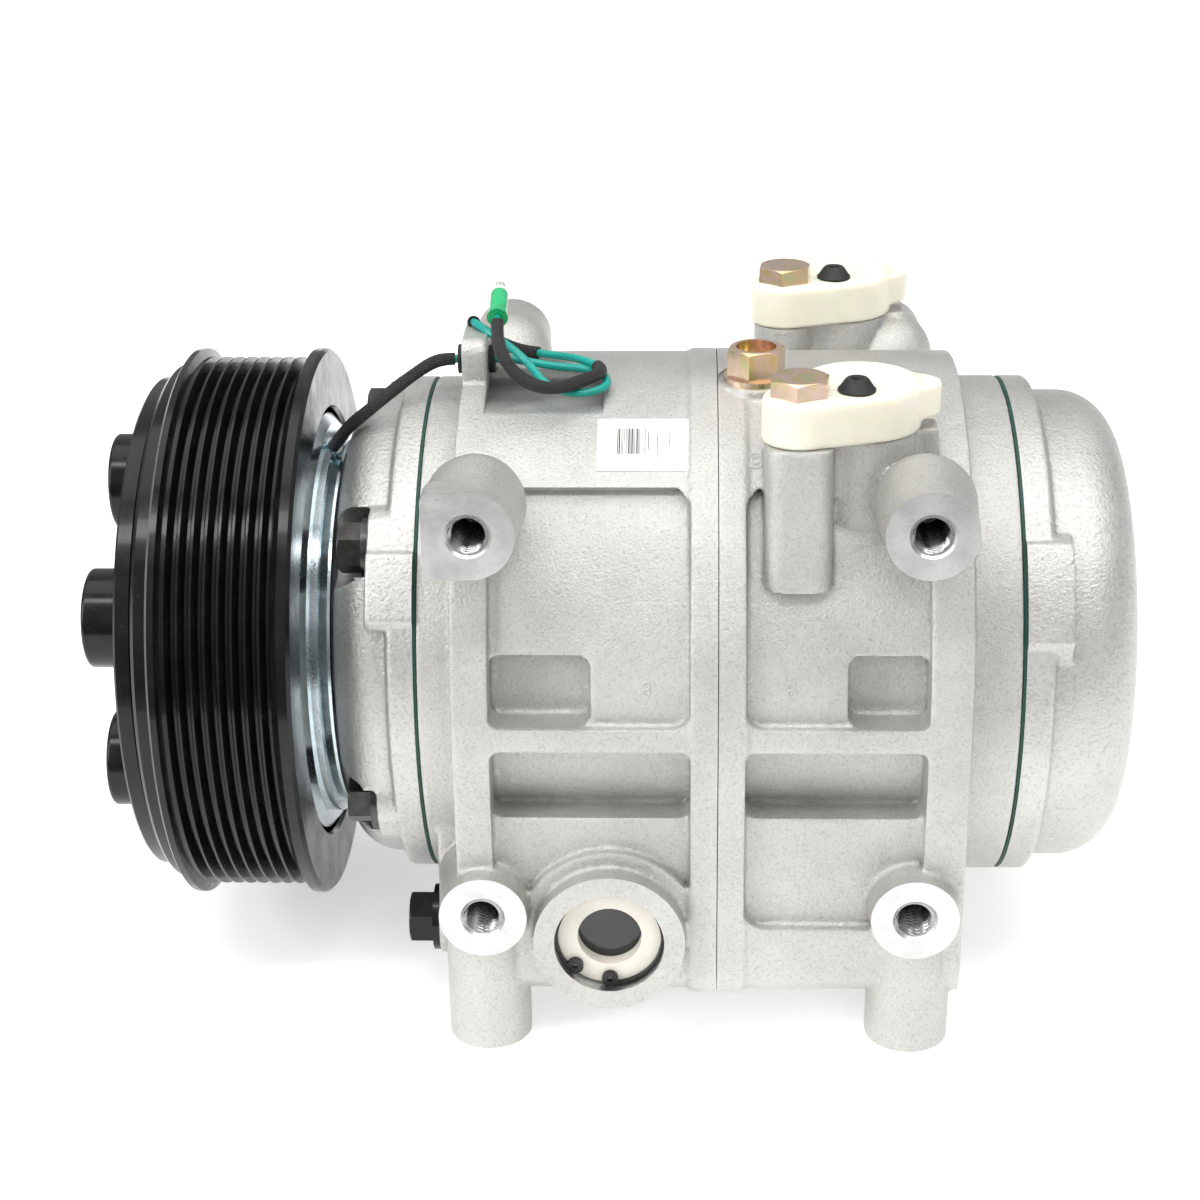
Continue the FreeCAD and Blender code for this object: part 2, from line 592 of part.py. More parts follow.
def front_head():
    face = GASKET_FRONT_X - GASKET_THICK / 2
    step = FRONT_HEAD_STEP_X
    body_r = HEAD_R
    round_r = 13.0
    dome_x = HEAD_FRONT_X + round_r
    mid = round_r * math.sin(math.pi / 4)
    arc = [(HEAD_FRONT_X, body_r - round_r),
           (dome_x - mid, body_r - round_r + mid),
           (dome_x, body_r)]
    outline = [[(HEAD_FRONT_X, 0), (HEAD_FRONT_X, body_r - round_r)], arc,
               [(dome_x, body_r), (step, body_r)],
               [(step, body_r), (step, FLANGE_R - 1)],
               [(step, FLANGE_R - 1), (step + 1, FLANGE_R)],
               [(step + 1, FLANGE_R), (face, FLANGE_R)],
               [(face, FLANGE_R), (face, 0)],
               [(face, 0), (HEAD_FRONT_X, 0)]]
    shape = turned_path(outline)
    nose = fuse(cyl_x(NOSE_X0, HEAD_FRONT_X + 1, NOSE_R),
                cyl_x(BEARING_X1, HEAD_FRONT_X + 1, COIL_SEAT_R),
                cyl_x(COIL_SEAT_X, HEAD_FRONT_X + 1, COIL_SEAT_R + 5))
    pads = spread(lambda y, z: cyl_x(-91.0, step, 12.0, y, z),
                  BORE_COUNT, BOLT_PITCH_R - 1.5, BOLT_ANGLE)
    limit = cyl_x(-120, face, FLANGE_R)
    pads = [p.common(limit) for p in pads]
    pads.append(head_pad(BOLT_SEAT_X, face, 136.3, 121.0, 117.5))
    shape = clean(shape.fuse([nose] + pads))
    tools = []
    for radius in (BOLT_PITCH_R, BOLT_PITCH_R + 9):
        tools += spread(lambda y, z: cyl_x(-100, BOLT_SEAT_X, 10.8, y, z),
                        BORE_COUNT, radius, BOLT_ANGLE)
    tools += bolt_holes(-100, -70)
    pocket = GASKET_FRONT_X + GASKET_THICK / 2 - REED_THICK - VALVE_THICK
    tools.append(cyl_x(pocket, face + 1, VALVE_PLATE_R + 0.2))
    tools += head_chambers(pocket - 11.0, pocket)
    tools.append(cyl_x(NOSE_X0 - 1, face + 1, 11.0))
    tools.append(cyl_x(NOSE_X0 - 1, -127.0, 14.5))
    tools.append(ring_x(-136.1, -134.5, 15.4, 14.0))
    tools.append(ring_x(-139.2, -137.6, NOSE_R + 1, NOSE_R - 1.0))
    tools.append(ring_x(-108.0, -106.5, COIL_SEAT_R + 1, COIL_SEAT_R - 1.0))
    save("front_head", clean(cut(shape, *tools)))


def rear_head():
    face = GASKET_REAR_X + GASKET_THICK / 2
    step = REAR_HEAD_STEP_X
    round_r = 15.0
    dome_x = HEAD_REAR_X - round_r
    mid = round_r * math.sin(math.pi / 4)
    arc = [(dome_x, HEAD_R),
           (dome_x + mid, HEAD_R - round_r + mid),
           (HEAD_REAR_X, HEAD_R - round_r)]
    outline = [[(face, 0), (face, FLANGE_R)],
               [(face, FLANGE_R), (step - 1, FLANGE_R)],
               [(step - 1, FLANGE_R), (step, FLANGE_R - 1)],
               [(step, FLANGE_R - 1), (step, HEAD_R)],
               [(step, HEAD_R), (dome_x, HEAD_R)], arc,
               [(HEAD_REAR_X, HEAD_R - round_r), (HEAD_REAR_X, 0)],
               [(HEAD_REAR_X, 0), (face, 0)]]
    shape = turned_path(outline)
    shape = clean(shape.fuse(head_pad(face, 96.5, 138.5, 116.0, 108.2)))
    pocket = GASKET_REAR_X - GASKET_THICK / 2 + REED_THICK + VALVE_THICK
    tools = [cyl_x(face - 1, pocket, VALVE_PLATE_R + 0.2)]
    tools += head_chambers(pocket, pocket + 18.0)
    tools += bolt_holes(face - 1, 99.0)
    tools.append(cyl_x(face - 1, pocket + 4, 11.5))
    save("rear_head", clean(cut(shape, *tools)))


def through_bolts():
    def bolt(y, z):
        flange_x = BOLT_SEAT_X - 1.8
        shank = cyl_x(BOLT_SEAT_X, 98.0, 4.0, y, z)
        flange = cyl_x(flange_x, BOLT_SEAT_X, 8.6, y, z)
        head = hex_head(12.0, 6.6, Vector(flange_x, y, z), Vector(-1, 0, 0), 1.0, 10)
        return fuse(shank, flange, head)

    save("through_bolts", Part.makeCompound(spread(bolt, BORE_COUNT, BOLT_PITCH_R, BOLT_ANGLE)))


# ---- shaft group ----
def tilt(shape):
    shape.rotate(Vector(SEAM_X, 0, AXIS_Z), Y_AXIS, SWASH_TILT)
    return shape


def shaft_group():
    shaft = fuse(cyl_x(SHAFT_TIP_X, NUT_SEAT_X, 5.0), cyl_x(NUT_SEAT_X, -137.9, 8.0),
                 cyl_x(-138.0, 80.0, SHAFT_R))
    save("drive_shaft", shaft)
    disc = tilt(cyl_x(SEAM_X - SWASH_THICK / 2, SEAM_X + SWASH_THICK / 2, SWASH_R + 4))
    disc = disc.common(cyl_x(-40, 50, SWASH_R))
    boss = cyl_x(SEAM_X - 19.0, SEAM_X + 19.0, 20.0)
    save("swash_plate", clean(cut(disc.fuse(boss), cyl_x(-60, 60, SHAFT_R))))
    arms = [cyl_x(HUB_X0, HUB_X1, 33.0)]
    arms += dampers(lambda y, z: cyl_x(HUB_X0, HUB_X1, DAMPER_R + 0.6, y, z))
    hub = fuse(cyl_x(NUT_SEAT_X, -142.0, 13.0), *arms)
    tools = dampers(lambda y, z: cyl_x(HUB_X0 - 1, HUB_X1 + 1, 10.0, y, z))
    save("clutch_hub", clean(cut(hub, cyl_x(-170, -140, 8.0), *tools)))
    nut = hex_head(17.0, 5.6, Vector(NUT_SEAT_X, 0, AXIS_Z), Vector(-1, 0, 0), 1.0)
    save("hub_nut", cut(nut, cyl_x(-170, NUT_SEAT_X + 1, 5.0)))
    save("damper_cups", Part.makeCompound(dampers(damper_cup)))
    save("damper_rubbers", Part.makeCompound(dampers(damper_rubber)))


def dampers(make):
    return spread(make, DAMPER_COUNT, DAMPER_PITCH_R, DAMPER_ANGLE)


def damper_cup(y, z):
    outer = cyl_x(DAMPER_FACE_X, HUB_X0, DAMPER_R, y, z)
    rim = [e for e in outer.Edges if abs(e.CenterOfMass.x - DAMPER_FACE_X) < 0.01]
    outer = outer.makeFillet(1.2, rim)
    return cut(outer, cyl_x(DAMPER_FACE_X + DAMPER_WALL, HUB_X0 + 1, DAMPER_R - DAMPER_WALL, y, z))


def damper_rubber(y, z):
    rubber = cyl_x(DAMPER_FACE_X + DAMPER_WALL, HUB_X0, DAMPER_R - DAMPER_WALL, y, z)
    return cut(rubber, cyl_x(DAMPER_FACE_X + 2 * DAMPER_WALL, HUB_X0 + 1, 4.6, y, z))


def armature():
    x1 = ROTOR_X0 - ARMATURE_GAP
    x0 = x1 - ARMATURE_THICK
    disc = cyl_x(x0, x1, ARMATURE_R)
    disc = disc.makeChamfer(0.6, [e for e in disc.Edges if e.Length > 300])
    bridges = spread(lambda y, z: cyl_x(x0 - 1, x1 + 1, 7.0, y, z), 4, 53.7, 20)
    slot = ring_x(x0 - 1, x1 + 1, 55.0, 52.5).cut(bridges)
    save("armature_plate", cut(disc, slot, cyl_x(x0 - 1, x1 + 1, 17.0)))
    pins = dampers(lambda y, z: fuse(cyl_x(-161.8, x0, 4.0, y, z), cyl_x(-153.6, x0, 7.0, y, z)))
    save("armature_pins", Part.makeCompound(pins))


# ---- pulley, coil and bearing ----
def pulley():
    pitch = GROOVE_PITCH
    first = -139.2
    profile = [(ROTOR_X0, BEARING_R + 4.5), (ROTOR_X0, 73.0), (ROTOR_X0 + 1.0, 74.0),
               (-143.1, 74.0), (-143.1, PULLEY_FLANGE_R - 1.2), (-142.3, PULLEY_FLANGE_R),
               (-140.6, PULLEY_FLANGE_R)]
    start = first + 0.3
    profile.append((start - 0.7, PULLEY_LAND_R))
    half = 0.3
    for i in range(GROOVE_COUNT + 1):
        land = start + 0.2 + pitch * i
        if i > 0:
            profile.append((land - half, PULLEY_LAND_R))
        if i < GROOVE_COUNT:
            profile.append((land + half, PULLEY_LAND_R))
            profile.append((land + pitch / 2 - 0.35, PULLEY_LAND_R - GROOVE_DEPTH))
            profile.append((land + pitch / 2 + 0.35, PULLEY_LAND_R - GROOVE_DEPTH))
    profile += [(-108.8, PULLEY_FLANGE_R), (-106.3, PULLEY_FLANGE_R),
                (ROTOR_X1, PULLEY_FLANGE_R - 1.0),
                (ROTOR_X1, 62.2), (-106.5, 61.6), (-141.0, 61.6), (-141.0, 36.0),
                (-112.0, 36.0), (-112.0, BEARING_R + 0.01), (-138.0, BEARING_R + 0.01),
                (-138.0, BEARING_R - 2.5), (-141.5, BEARING_R - 2.5), (-141.5, BEARING_R + 4.5)]
    body = turned(profile)
    slots = ring_x(-150, -140.9, 57.0, 54.0)
    keeps = spread(lambda y, z: cyl_x(-151, -140, 7.0, y, z), 6, 55.5, 0)
    inner = ring_x(-150, -140.9, 46.0, 43.0)
    keeps_in = spread(lambda y, z: cyl_x(-151, -140, 6.0, y, z), 6, 44.5, 30)
    body = cut(body, slots.cut(keeps), inner.cut(keeps_in))
    save("pulley", clean(body))


def pulley_bearing():
    inner_r = NOSE_R + 0.01
    groove_r = 2.6
    mid_r = (inner_r + BEARING_R) / 2
    rows = (BEARING_X0 + 6.5, BEARING_X1 - 6.5)
    inner = ring_x(BEARING_X0, BEARING_X1, mid_r - 1.4, inner_r)
    outer = ring_x(BEARING_X0, BEARING_X1, BEARING_R, mid_r + 1.4)
    balls = []
    for x in rows:
        torus = Part.makeTorus(mid_r, groove_r + 0.05, Vector(x, 0, AXIS_Z), X_AXIS)
        inner = inner.cut(torus)
        outer = outer.cut(torus)
        for y, z in [polar_point(mid_r, 360.0 / 16 * i) for i in range(16)]:
            balls.append(Part.makeSphere(groove_r, Vector(x, y, z)))
    save("bearing_inner_race", inner)
    save("bearing_outer_race", outer)
    save("bearing_balls", Part.makeCompound(balls))
    save("bearing_circlip", split_ring(-139.1, -137.7, NOSE_R + 2.4, NOSE_R - 0.9))


def coil():
    """Steel shell of the field coil, its mounting plates and its copper winding."""
    bore = COIL_SEAT_R + 0.05
    shell = turned([(-106.5, 60.0), (-130.0, 60.0), (-130.0, 56.5), (-108.5, 56.5),
                    (-108.5, 41.5), (-130.0, 41.5), (-130.0, 38.0), (-108.5, 38.0),
                    (-106.5, 36.0), (-106.5, bore), (-104.4, bore), (-104.4, 57.4)])
    rib = turned([(-104.4, bore), (-104.4, 55.0), (-101.9, 55.0), (-101.9, bore)])
    plate = turned([(-101.9, bore), (-101.9, 51.5), (-99.6, 52.5), (-98.8, 52.5),
                    (-98.8, 49.8), (COIL_SEAT_X, 49.0), (COIL_SEAT_X, bore)])
    start = Vector(*COIL_LEAD[0])
    heading = Vector(*COIL_LEAD[1]) - start
    heading.normalize()
    outlet = Part.makeCylinder(2.6, 4.5, start - heading * 4.5, heading)
    save("coil_housing", clean(shell.fuse([rib, plate, outlet])))
    save("coil_winding", ring_x(-129.6, -108.5, 56.5, 41.5))
    save("coil_circlip", split_ring(-107.8, -106.6, COIL_SEAT_R + 2.4, COIL_SEAT_R - 0.9))


# ---- pistons and shoes ----
def pistons():
    """Five double-ended pistons; each slot is long enough for the plate at any place."""
    for i in range(BORE_COUNT):
        angle = BORE_ANGLE + STEP_ANGLE * i
        y, z = polar_point(BORE_PITCH_R, angle)
        middle = SEAM_X + STROKE / 2 * math.sin(math.radians(angle))
        radius = BORE_R - RUN_GAP
        body = cyl_x(middle - PISTON_HALF, middle + PISTON_HALF, radius, y, z)
        slot = cyl_x(middle - SLOT_HALF, middle + SLOT_HALF, SWASH_R + 1.5)
        pockets = []
        shoes = []
        for side in (-1, 1):
            seat = Vector(middle + side * SLOT_HALF, y, z)
            pockets.append(Part.makeSphere(SHOE_R + 0.05, seat))
            inward = Vector(-side, 0, 0)
            flat = math.degrees(math.asin(SHOE_STAND / SHOE_R))
            shoes.append(Part.makeSphere(SHOE_R, seat, inward, -90, flat, 360))
        save("piston_%d" % (i + 1), cut(body, slot, *pockets))
        save("piston_shoes_%d" % (i + 1), Part.makeCompound(shoes))


# ---- bearings and seals on the shaft ----
def needle_bearing(x0, x1):
    cup = ring_x(x0, x1, 12.98, 12.2)
    needles = spread(lambda y, z: cyl_x(x0 + 1, x1 - 1, 1.0, y, z), 20, 11.06, 0)
    return [cup] + needles


def shaft_bearings():
    save("needle_bearings", Part.makeCompound(needle_bearing(-70.0, -50.0)
                                              + needle_bearing(60.0, 80.0)))
    fixed = []
    moving = []
    for side in (-1, 1):
        wall = SEAM_X + side * CHAMBER_HALF
        lo, hi = sorted((wall, wall - side * 1.0))
        fixed.append(ring_x(lo, hi, 20.0, 12.0))
        lo, hi = sorted((wall - side * 1.05, wall - side * 3.25))
        fixed += spread(lambda y, z: thrust_roller(lo, hi, y, z), 16, 16.0, 0)
        lo, hi = sorted((wall - side * 3.35, wall - side * 4.45))
        moving.append(ring_x(lo, hi, 20.0, SHAFT_R + 0.02))
    save("thrust_bearings", Part.makeCompound(fixed))
    save("thrust_washers", Part.makeCompound(moving))


def thrust_roller(x0, x1, y, z):
    """A short roller lying radially between the two washers."""
    out = Vector(0, y, z - AXIS_Z)
    out.normalize()
    radius = (x1 - x0) / 2
    start = Vector((x0 + x1) / 2, y, z) - out * 3.2
    return Part.makeCylinder(radius, 6.4, start, out)


def shaft_seal():
    body = turned([(-134.0, 14.5), (-127.0, 14.5), (-127.0, 11.6), (-128.2, 10.4),
                   (-129.6, 10.4), (-130.4, 11.6), (-134.0, 11.6)])
    save("shaft_seal", body)
    save("seal_circlip", split_ring(-136.0, -134.6, 15.2, 12.6))


def split_ring(x0, x1, outer, inner, gap_half=2.5):
    """A circlip: an open ring whose gap is at the top."""
    ring = ring_x(x0, x1, outer, inner)
    return ring.cut(box(x0 - 1, x1 + 1, -gap_half, gap_half, AXIS_Z, AXIS_Z + outer + 5))


def joint_pieces():
    save("block_seal_ring", ring_x(SEAM_X - SEAL_HALF, SEAM_X + SEAL_HALF,
                                   SEAL_OUTER, SEAL_INNER))
    save("dowel_pins", Part.makeCompound(dowels()))


def dowels():
    places = [polar_point(DOWEL_R, BOLT_ANGLE + shift) for shift in (10.0, 154.0)]
    return [cyl_x(SEAM_X - DOWEL_HALF, SEAM_X + DOWEL_HALF, DOWEL_PIN_R, y, z)
            for y, z in places]


# ---- plugs, sight glass, caps and label ----
def oil_plug():
    base = OIL_SEAT_Z
    flange = cyl_z(base, base + 1.6, 8.8, OIL_X, OIL_Y)
    head = hex_head(14.0, 8.4, Vector(OIL_X, OIL_Y, base + 1.0), Z_AXIS, 1.0, 15)
    stem = cyl_z(base - 9, base + 0.5, 4.95, OIL_X, OIL_Y)
    body = fuse(flange, head, stem)
    hollow = cyl_z(base + 5.4, base + 12, 5.4, OIL_X, OIL_Y)
    save("oil_plug", clean(cut(body, hollow)))


def drain_plug():
    face = SUMP_X0 - 0.8
    flange = cyl_x(face - 1.8, face, 9.2, DRAIN_Y, DRAIN_Z)
    head = hex_head(13.5, 7.6, Vector(face - 1.0, DRAIN_Y, DRAIN_Z), Vector(-1, 0, 0), 1.0, 0)
    stem = cyl_x(face - 0.5, face + 11, 4.95, DRAIN_Y, DRAIN_Z)
    save("drain_plug", fuse(flange, head, stem))


def sight_glass():
    x, z = SIGHT_X, SIGHT_Z
    seat = SIGHT_SEAT_Y
    lens = cyl_y(seat - 4.0, seat, SIGHT_BORE_R - 0.05, x, z)
    save("sight_glass", lens)
    ring = cyl_y(seat - 7.8, seat - 4.0, SIGHT_BORE_R - 0.05, x, z)
    rim = [e for e in ring.Edges if e.Length > 60 and e.CenterOfMass.y < seat - 7]
    ring = ring.makeFillet(0.6, rim)
    save("sight_glass_ring", cut(ring, cyl_y(-90, -60, 8.6, x, z)))
    y0, y1 = seat - 9.3, seat - 7.8
    clip = cyl_y(y0, y1, SIGHT_BORE_R + 0.8, x, z)
    clip = clip.cut(cyl_y(-90, -60, SIGHT_BORE_R - 0.9, x, z))
    gap = box(x - 11.0, x + 0.5, y0 - 1, y1 + 1, z - 20, z - 6)
    eyes = []
    ears = []
    for angle in CLIP_EAR_ANGLES:
        turn = math.radians(angle)
        ear_x = x + (SIGHT_BORE_R - 2.0) * math.cos(turn)
        ear_z = z + (SIGHT_BORE_R - 2.0) * math.sin(turn)
        ears.append(cyl_y(y0, y1, 2.2, ear_x, ear_z))
        eyes.append(cyl_y(-90, -60, 0.8, ear_x, ear_z))
    clip = cut(fuse(clip.cut(gap), *ears), *eyes)
    save("sight_glass_circlip", clean(clip))


def port_cap(bolt_x, bolt_y, port_x, port_y):
    z0, z1 = PORT_TOP_Z, PORT_TOP_Z + CAP_THICK
    outline = [(bolt_x, bolt_y, CAP_BOLT_R), (port_x, port_y, CAP_PORT_R)]
    body = hull_z(outline, z0, z1)
    top = [e for e in body.Edges if abs(e.CenterOfMass.z - z1) < 0.01]
    body = body.makeFillet(2.4, top)
    nub = hull_z([(port_x, port_y, 14.5), (port_x + 14.8, port_y + 1.5, 6.2)], z0 + 2.6, z1 - 1.2)
    spigot = cyl_z(z0 - 8, z0 + 1, 10.2, port_x, port_y)
    body = fuse(body, nub, spigot)
    plug_x, plug_y = bolt_x + STOPPER_DX, bolt_y + STOPPER_DY
    return clean(cut(body, cyl_z(z0 - 1, z1 + 1, 3.6, bolt_x, bolt_y),
                     cyl_z(z1 - 6, z1 + 1, STOPPER_STEM_R, plug_x, plug_y)))


def caps():
    bolts = []
    stoppers = []
    for name, place in zip(("near_port_cap", "far_port_cap"), port_places()):
        save(name, port_cap(*place))
        x, y = place[0], place[1]
        top = PORT_TOP_Z + CAP_THICK
        head = hex_head(14.2, 4.4, Vector(x, y, top), Z_AXIS, 0.9, 22)
        bolts.append(fuse(head, cyl_z(PORT_TOP_Z - 15, top + 0.5, 3.4, x, y)))
        x, y = x + STOPPER_DX, y + STOPPER_DY
        cone = Part.makeCone(4.9, 2.8, 3.4, Vector(x, y, top), Z_AXIS)
        stem = cyl_z(top - 6, top + 0.5, STOPPER_STEM_R, x, y)
        stoppers.append(cut(fuse(cone, stem), cyl_z(top, top + 6, 1.2, x, y)))
    save("cap_bolts", Part.makeCompound(bolts))
    save("cap_stoppers", Part.makeCompound(stoppers))


def label():
    """A paper label lying on the round top of the front block."""
    sheet = cyl_x(LABEL_X0, LABEL_X1, BODY_R + LABEL_THICK).cut(
        cyl_x(LABEL_X0 - 1, LABEL_X1 + 1, BODY_R))
    corners = [CENTRE + Vector(LABEL_X0, 0, 0)]
    for angle in (LABEL_ANGLE0, (LABEL_ANGLE0 + LABEL_ANGLE1) / 2, LABEL_ANGLE1):
        y, z = polar_point(100.0, angle)
        corners.append(Vector(LABEL_X0, y, z))
    wedge = Part.Face(Part.makePolygon(corners + corners[:1])).extrude(
        Vector(LABEL_X1 - LABEL_X0, 0, 0))
    save("barcode_label", sheet.common(wedge))


# ---- leads ----
def tube(route, diameter):
    """Straight runs joined by tangent arcs, swept with a round section."""
    points = [Vector(*p) for p in route]
    edges = []
    start = points[0]
    smallest = 1e9
    for before, corner, after in zip(points, points[1:], points[2:]):
        back = before - corner
        ahead = after - corner
        reach = 0.45 * min(back.Length, ahead.Length)
        back.normalize()
        ahead.normalize()
        half_turn = (math.pi - back.getAngle(ahead)) / 2
        radius = reach / math.tan(half_turn)
        smallest = min(smallest, radius)
        into = corner + back * reach
        out = corner + ahead * reach
        inward = back + ahead
        inward.normalize()
        middle = corner + inward * (radius / math.cos(half_turn) - radius)
        edges.append(Part.LineSegment(start, into).toShape())
        edges.append(Part.Arc(into, middle, out).toShape())
        start = out
    edges.append(Part.LineSegment(start, points[-1]).toShape())
    path = Part.Wire(edges)
    heading = points[1] - points[0]
    ring = Part.Wire(Part.makeCircle(diameter / 2, points[0], heading))
    solid = path.makePipeShell([ring], True, False)
    ideal = math.pi * diameter * diameter / 4 * path.Length
    print("lead length %.1f, smallest radius %.1f, volume ratio %.4f"
          % (path.Length, smallest, solid.Volume / ideal))
    return solid


def leads():
    save("coil_lead", tube(COIL_LEAD, WIRE_D))
    save("connector_lead", tube(CONNECTOR_LEAD, WIRE_D))
    y, z = GROMMET_Y, GROMMET_Z
    body = fuse(cyl_x(LUG_X0 - 1.6, LUG_X0, 4.0, y, z), cyl_x(LUG_X0, LUG_X1, 3.0, y, z),
                cyl_x(LUG_X1, LUG_X1 + 1.6, 3.8, y, z))
    save("lead_grommet", body)
    tail = Vector(*CONNECTOR_LEAD[-1])
    heading = tail - Vector(*CONNECTOR_LEAD[-2])
    heading.normalize()
    skirt = Part.makeCone(2.9, 2.5, 3.0, tail, heading)
    barrel = Part.makeCylinder(2.45, 8.5, tail + heading * 3.0, heading)
    save("connector_sleeve", fuse(skirt, barrel))
    tip = Part.makeCone(1.95, 1.5, 5.0, tail + heading * 11.5, heading)
    save("connector_tip", tip)


# ---- build ----
front_block()
rear_block()
gaskets()
valve_plates()
front_head()
rear_head()
through_bolts()
shaft_group()
armature()
pulley()
pulley_bearing()
coil()
pistons()
shaft_bearings()
shaft_seal()
joint_pieces()
oil_plug()
drain_plug()
sight_glass()
caps()
label()
leads()

os.makedirs("parts", exist_ok=True)
for name, shape in parts.items():
    shape.exportStep("parts/" + name + ".step")
    print(name, len(shape.Solids), round(shape.Volume / 1000, 2), shape.isValid())
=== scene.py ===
import math
import random

import bmesh
import bpy
from mathutils import Matrix, Vector


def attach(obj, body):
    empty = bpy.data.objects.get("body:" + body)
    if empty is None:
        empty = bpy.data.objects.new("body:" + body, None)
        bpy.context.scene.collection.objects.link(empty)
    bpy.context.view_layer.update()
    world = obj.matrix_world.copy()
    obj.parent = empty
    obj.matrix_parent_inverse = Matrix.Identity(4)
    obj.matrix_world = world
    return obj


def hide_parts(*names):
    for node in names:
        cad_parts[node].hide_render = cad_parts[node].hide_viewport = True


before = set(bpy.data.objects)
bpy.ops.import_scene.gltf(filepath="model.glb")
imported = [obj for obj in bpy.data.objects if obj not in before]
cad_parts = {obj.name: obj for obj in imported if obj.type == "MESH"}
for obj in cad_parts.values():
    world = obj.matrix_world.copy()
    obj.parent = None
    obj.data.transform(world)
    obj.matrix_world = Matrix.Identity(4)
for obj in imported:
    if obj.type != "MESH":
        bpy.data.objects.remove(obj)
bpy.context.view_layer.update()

# Lengths below are millimetres, as in the CAD, and are scaled to metres by MM.
MM = 0.001

# ---- places and sizes that the CAD also has ----
AXIS_Z = 92.0
SEAM_X = 5.0
BLOCK_X0 = -73.7
BLOCK_X1 = 83.7
HEAD_FACE_FRONT = -74.5
HEAD_FACE_REAR = 84.5
BOLT_SEAT_X = -87.0
MOUNT_X = 57.2
SIDE_Z = (42.7, 152.0)
SIDE_FACE_Y = 83.3
FOOT_Y = 70.0
BORE_R = 20.0
BORE_PITCH_R = 42.0
BOLT_HOLE_R = 4.5
BOLT_PITCH_R = 60.5
BOLT_ANGLE = 42.6
STEP_ANGLE = 72.0
DOWEL_PITCH_R = 67.0
DOWEL_R = 2.5
SHAFT_HOLE_R = 13.0
CHAMBER_R = 54.0
CHAMBER_HALF = 23.5
SIGHT = (-23.7, 34.8)
SIGHT_BOSS_R = 20.6
SIGHT_BORE = [(-90, 14.7), (-80.9, 14.7), (-80.9, 15.6), (-79.3, 15.6), (-79.3, 14.7),
              (-71.5, 14.7), (-71.5, 9.0), (-62, 9.0)]
LUG_X = (-64.2, -57.4)
RECESS_LOW = (-57.4, -40, 164.6)
RECESS_HIGH = (-25.6, -3, 182)
GROMMET = (-4.0, 172.4)
DRAIN = (-52.0, 24.0)
OIL = (15.4, -12.0)
OIL_SEAT_Z = 168.9
PLUG_HOLE_R = 5.0
PORT_BOLT = (25.4, 51.9)
PORT_SHIFT = (16.1, 11.9)
PORT_R = 10.5
PORT_TOP = 166.2
CAP_NUB_SHIFT = (14.8, 1.5)
CAP_TOP = 178.6
STOPPER_SHIFT = (14.4, 1.5)
LABEL_X0 = -26.7
LABEL_LOW = 54.3
LABEL_R = 77.7
WIRE_D = 2.2

# ---- sizes of what only the looks have ----
SLEEVE_R = 1.75
STRANDS_ROUND = 12.0
SEAM_GAP = 0.12
STOCK = 1.5
TAPPED_R = 5.29
THREAD_MINOR = 4.3
THREAD_MAJOR = 5.2

# ---- camera ----
CAMERA_AT = Vector((-2.90, -610.95, 367.61)) * MM
LOOK_AT = Vector((-28.2, 0.0, 98.34)) * MM
LENS = 69.54
ROLL = -0.857


def make_camera():
    data = bpy.data.cameras.new("camera")
    data.lens = LENS
    data.sensor_width = 36.0
    data.clip_start = 0.01
    data.clip_end = 20.0
    camera = bpy.data.objects.new("camera", data)
    bpy.context.scene.collection.objects.link(camera)
    turn = (LOOK_AT - CAMERA_AT).to_track_quat("-Z", "Y").to_matrix().to_4x4()
    roll = Matrix.Rotation(math.radians(ROLL), 4, "Z")
    camera.matrix_world = Matrix.Translation(CAMERA_AT) @ turn @ roll
    bpy.context.scene.camera = camera


make_camera()


# ---- small helpers ----
def link(name, mesh, *materials):
    piece = bpy.data.objects.new(name, mesh)
    bpy.context.scene.collection.objects.link(piece)
    for m in materials:
        mesh.materials.append(m)
    return piece


def settle(piece, body, slot, *nodes):
    """Put a finished piece on its body and hide the CAD nodes it stands for; slot, the name of its
    finish, is not used.
    """
    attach(piece, body)
    if nodes:
        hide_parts(*nodes)
    return piece


def apply_modifiers(piece):
    bpy.context.view_layer.update()
    graph = bpy.context.evaluated_depsgraph_get()
    mesh = bpy.data.meshes.new_from_object(piece.evaluated_get(graph), depsgraph=graph)
    piece.modifiers.clear()
    old = piece.data
    piece.data = mesh
    bpy.data.meshes.remove(old)


def smooth(piece, angle=35.0):
    for poly in piece.data.polygons:
        poly.use_smooth = True
    if angle < 180.0:
        piece.data.set_sharp_from_angle(angle=math.radians(angle))


def polar(radius, angle):
    """(y, z) at that radius from the shaft; angle 0 points at -Y and grows upwards."""
    a = math.radians(angle)
    return -radius * math.cos(a), AXIS_Z + radius * math.sin(a)


def around_x(profile, y=0.0, z=AXIS_Z, steps=128):
    """A closed solid turned about an axis along X, from a closed profile of (x, r)."""
    bm = bmesh.new()
    rings = []
    for x, r in profile:
        ring = []
        for i in range(steps):
            a = 2 * math.pi * i / steps
            ring.append(bm.verts.new((x * MM, (y + r * math.cos(a)) * MM,
                                      (z + r * math.sin(a)) * MM)))
        rings.append(ring)
    for a, b in zip(rings, rings[1:] + rings[:1]):
        for i in range(steps):
            j = (i + 1) % steps
            bm.faces.new((a[i], a[j], b[j], b[i]))
    bmesh.ops.recalc_face_normals(bm, faces=bm.faces)
    mesh = bpy.data.meshes.new("turned")
    bm.to_mesh(mesh)
    bm.free()
    return mesh


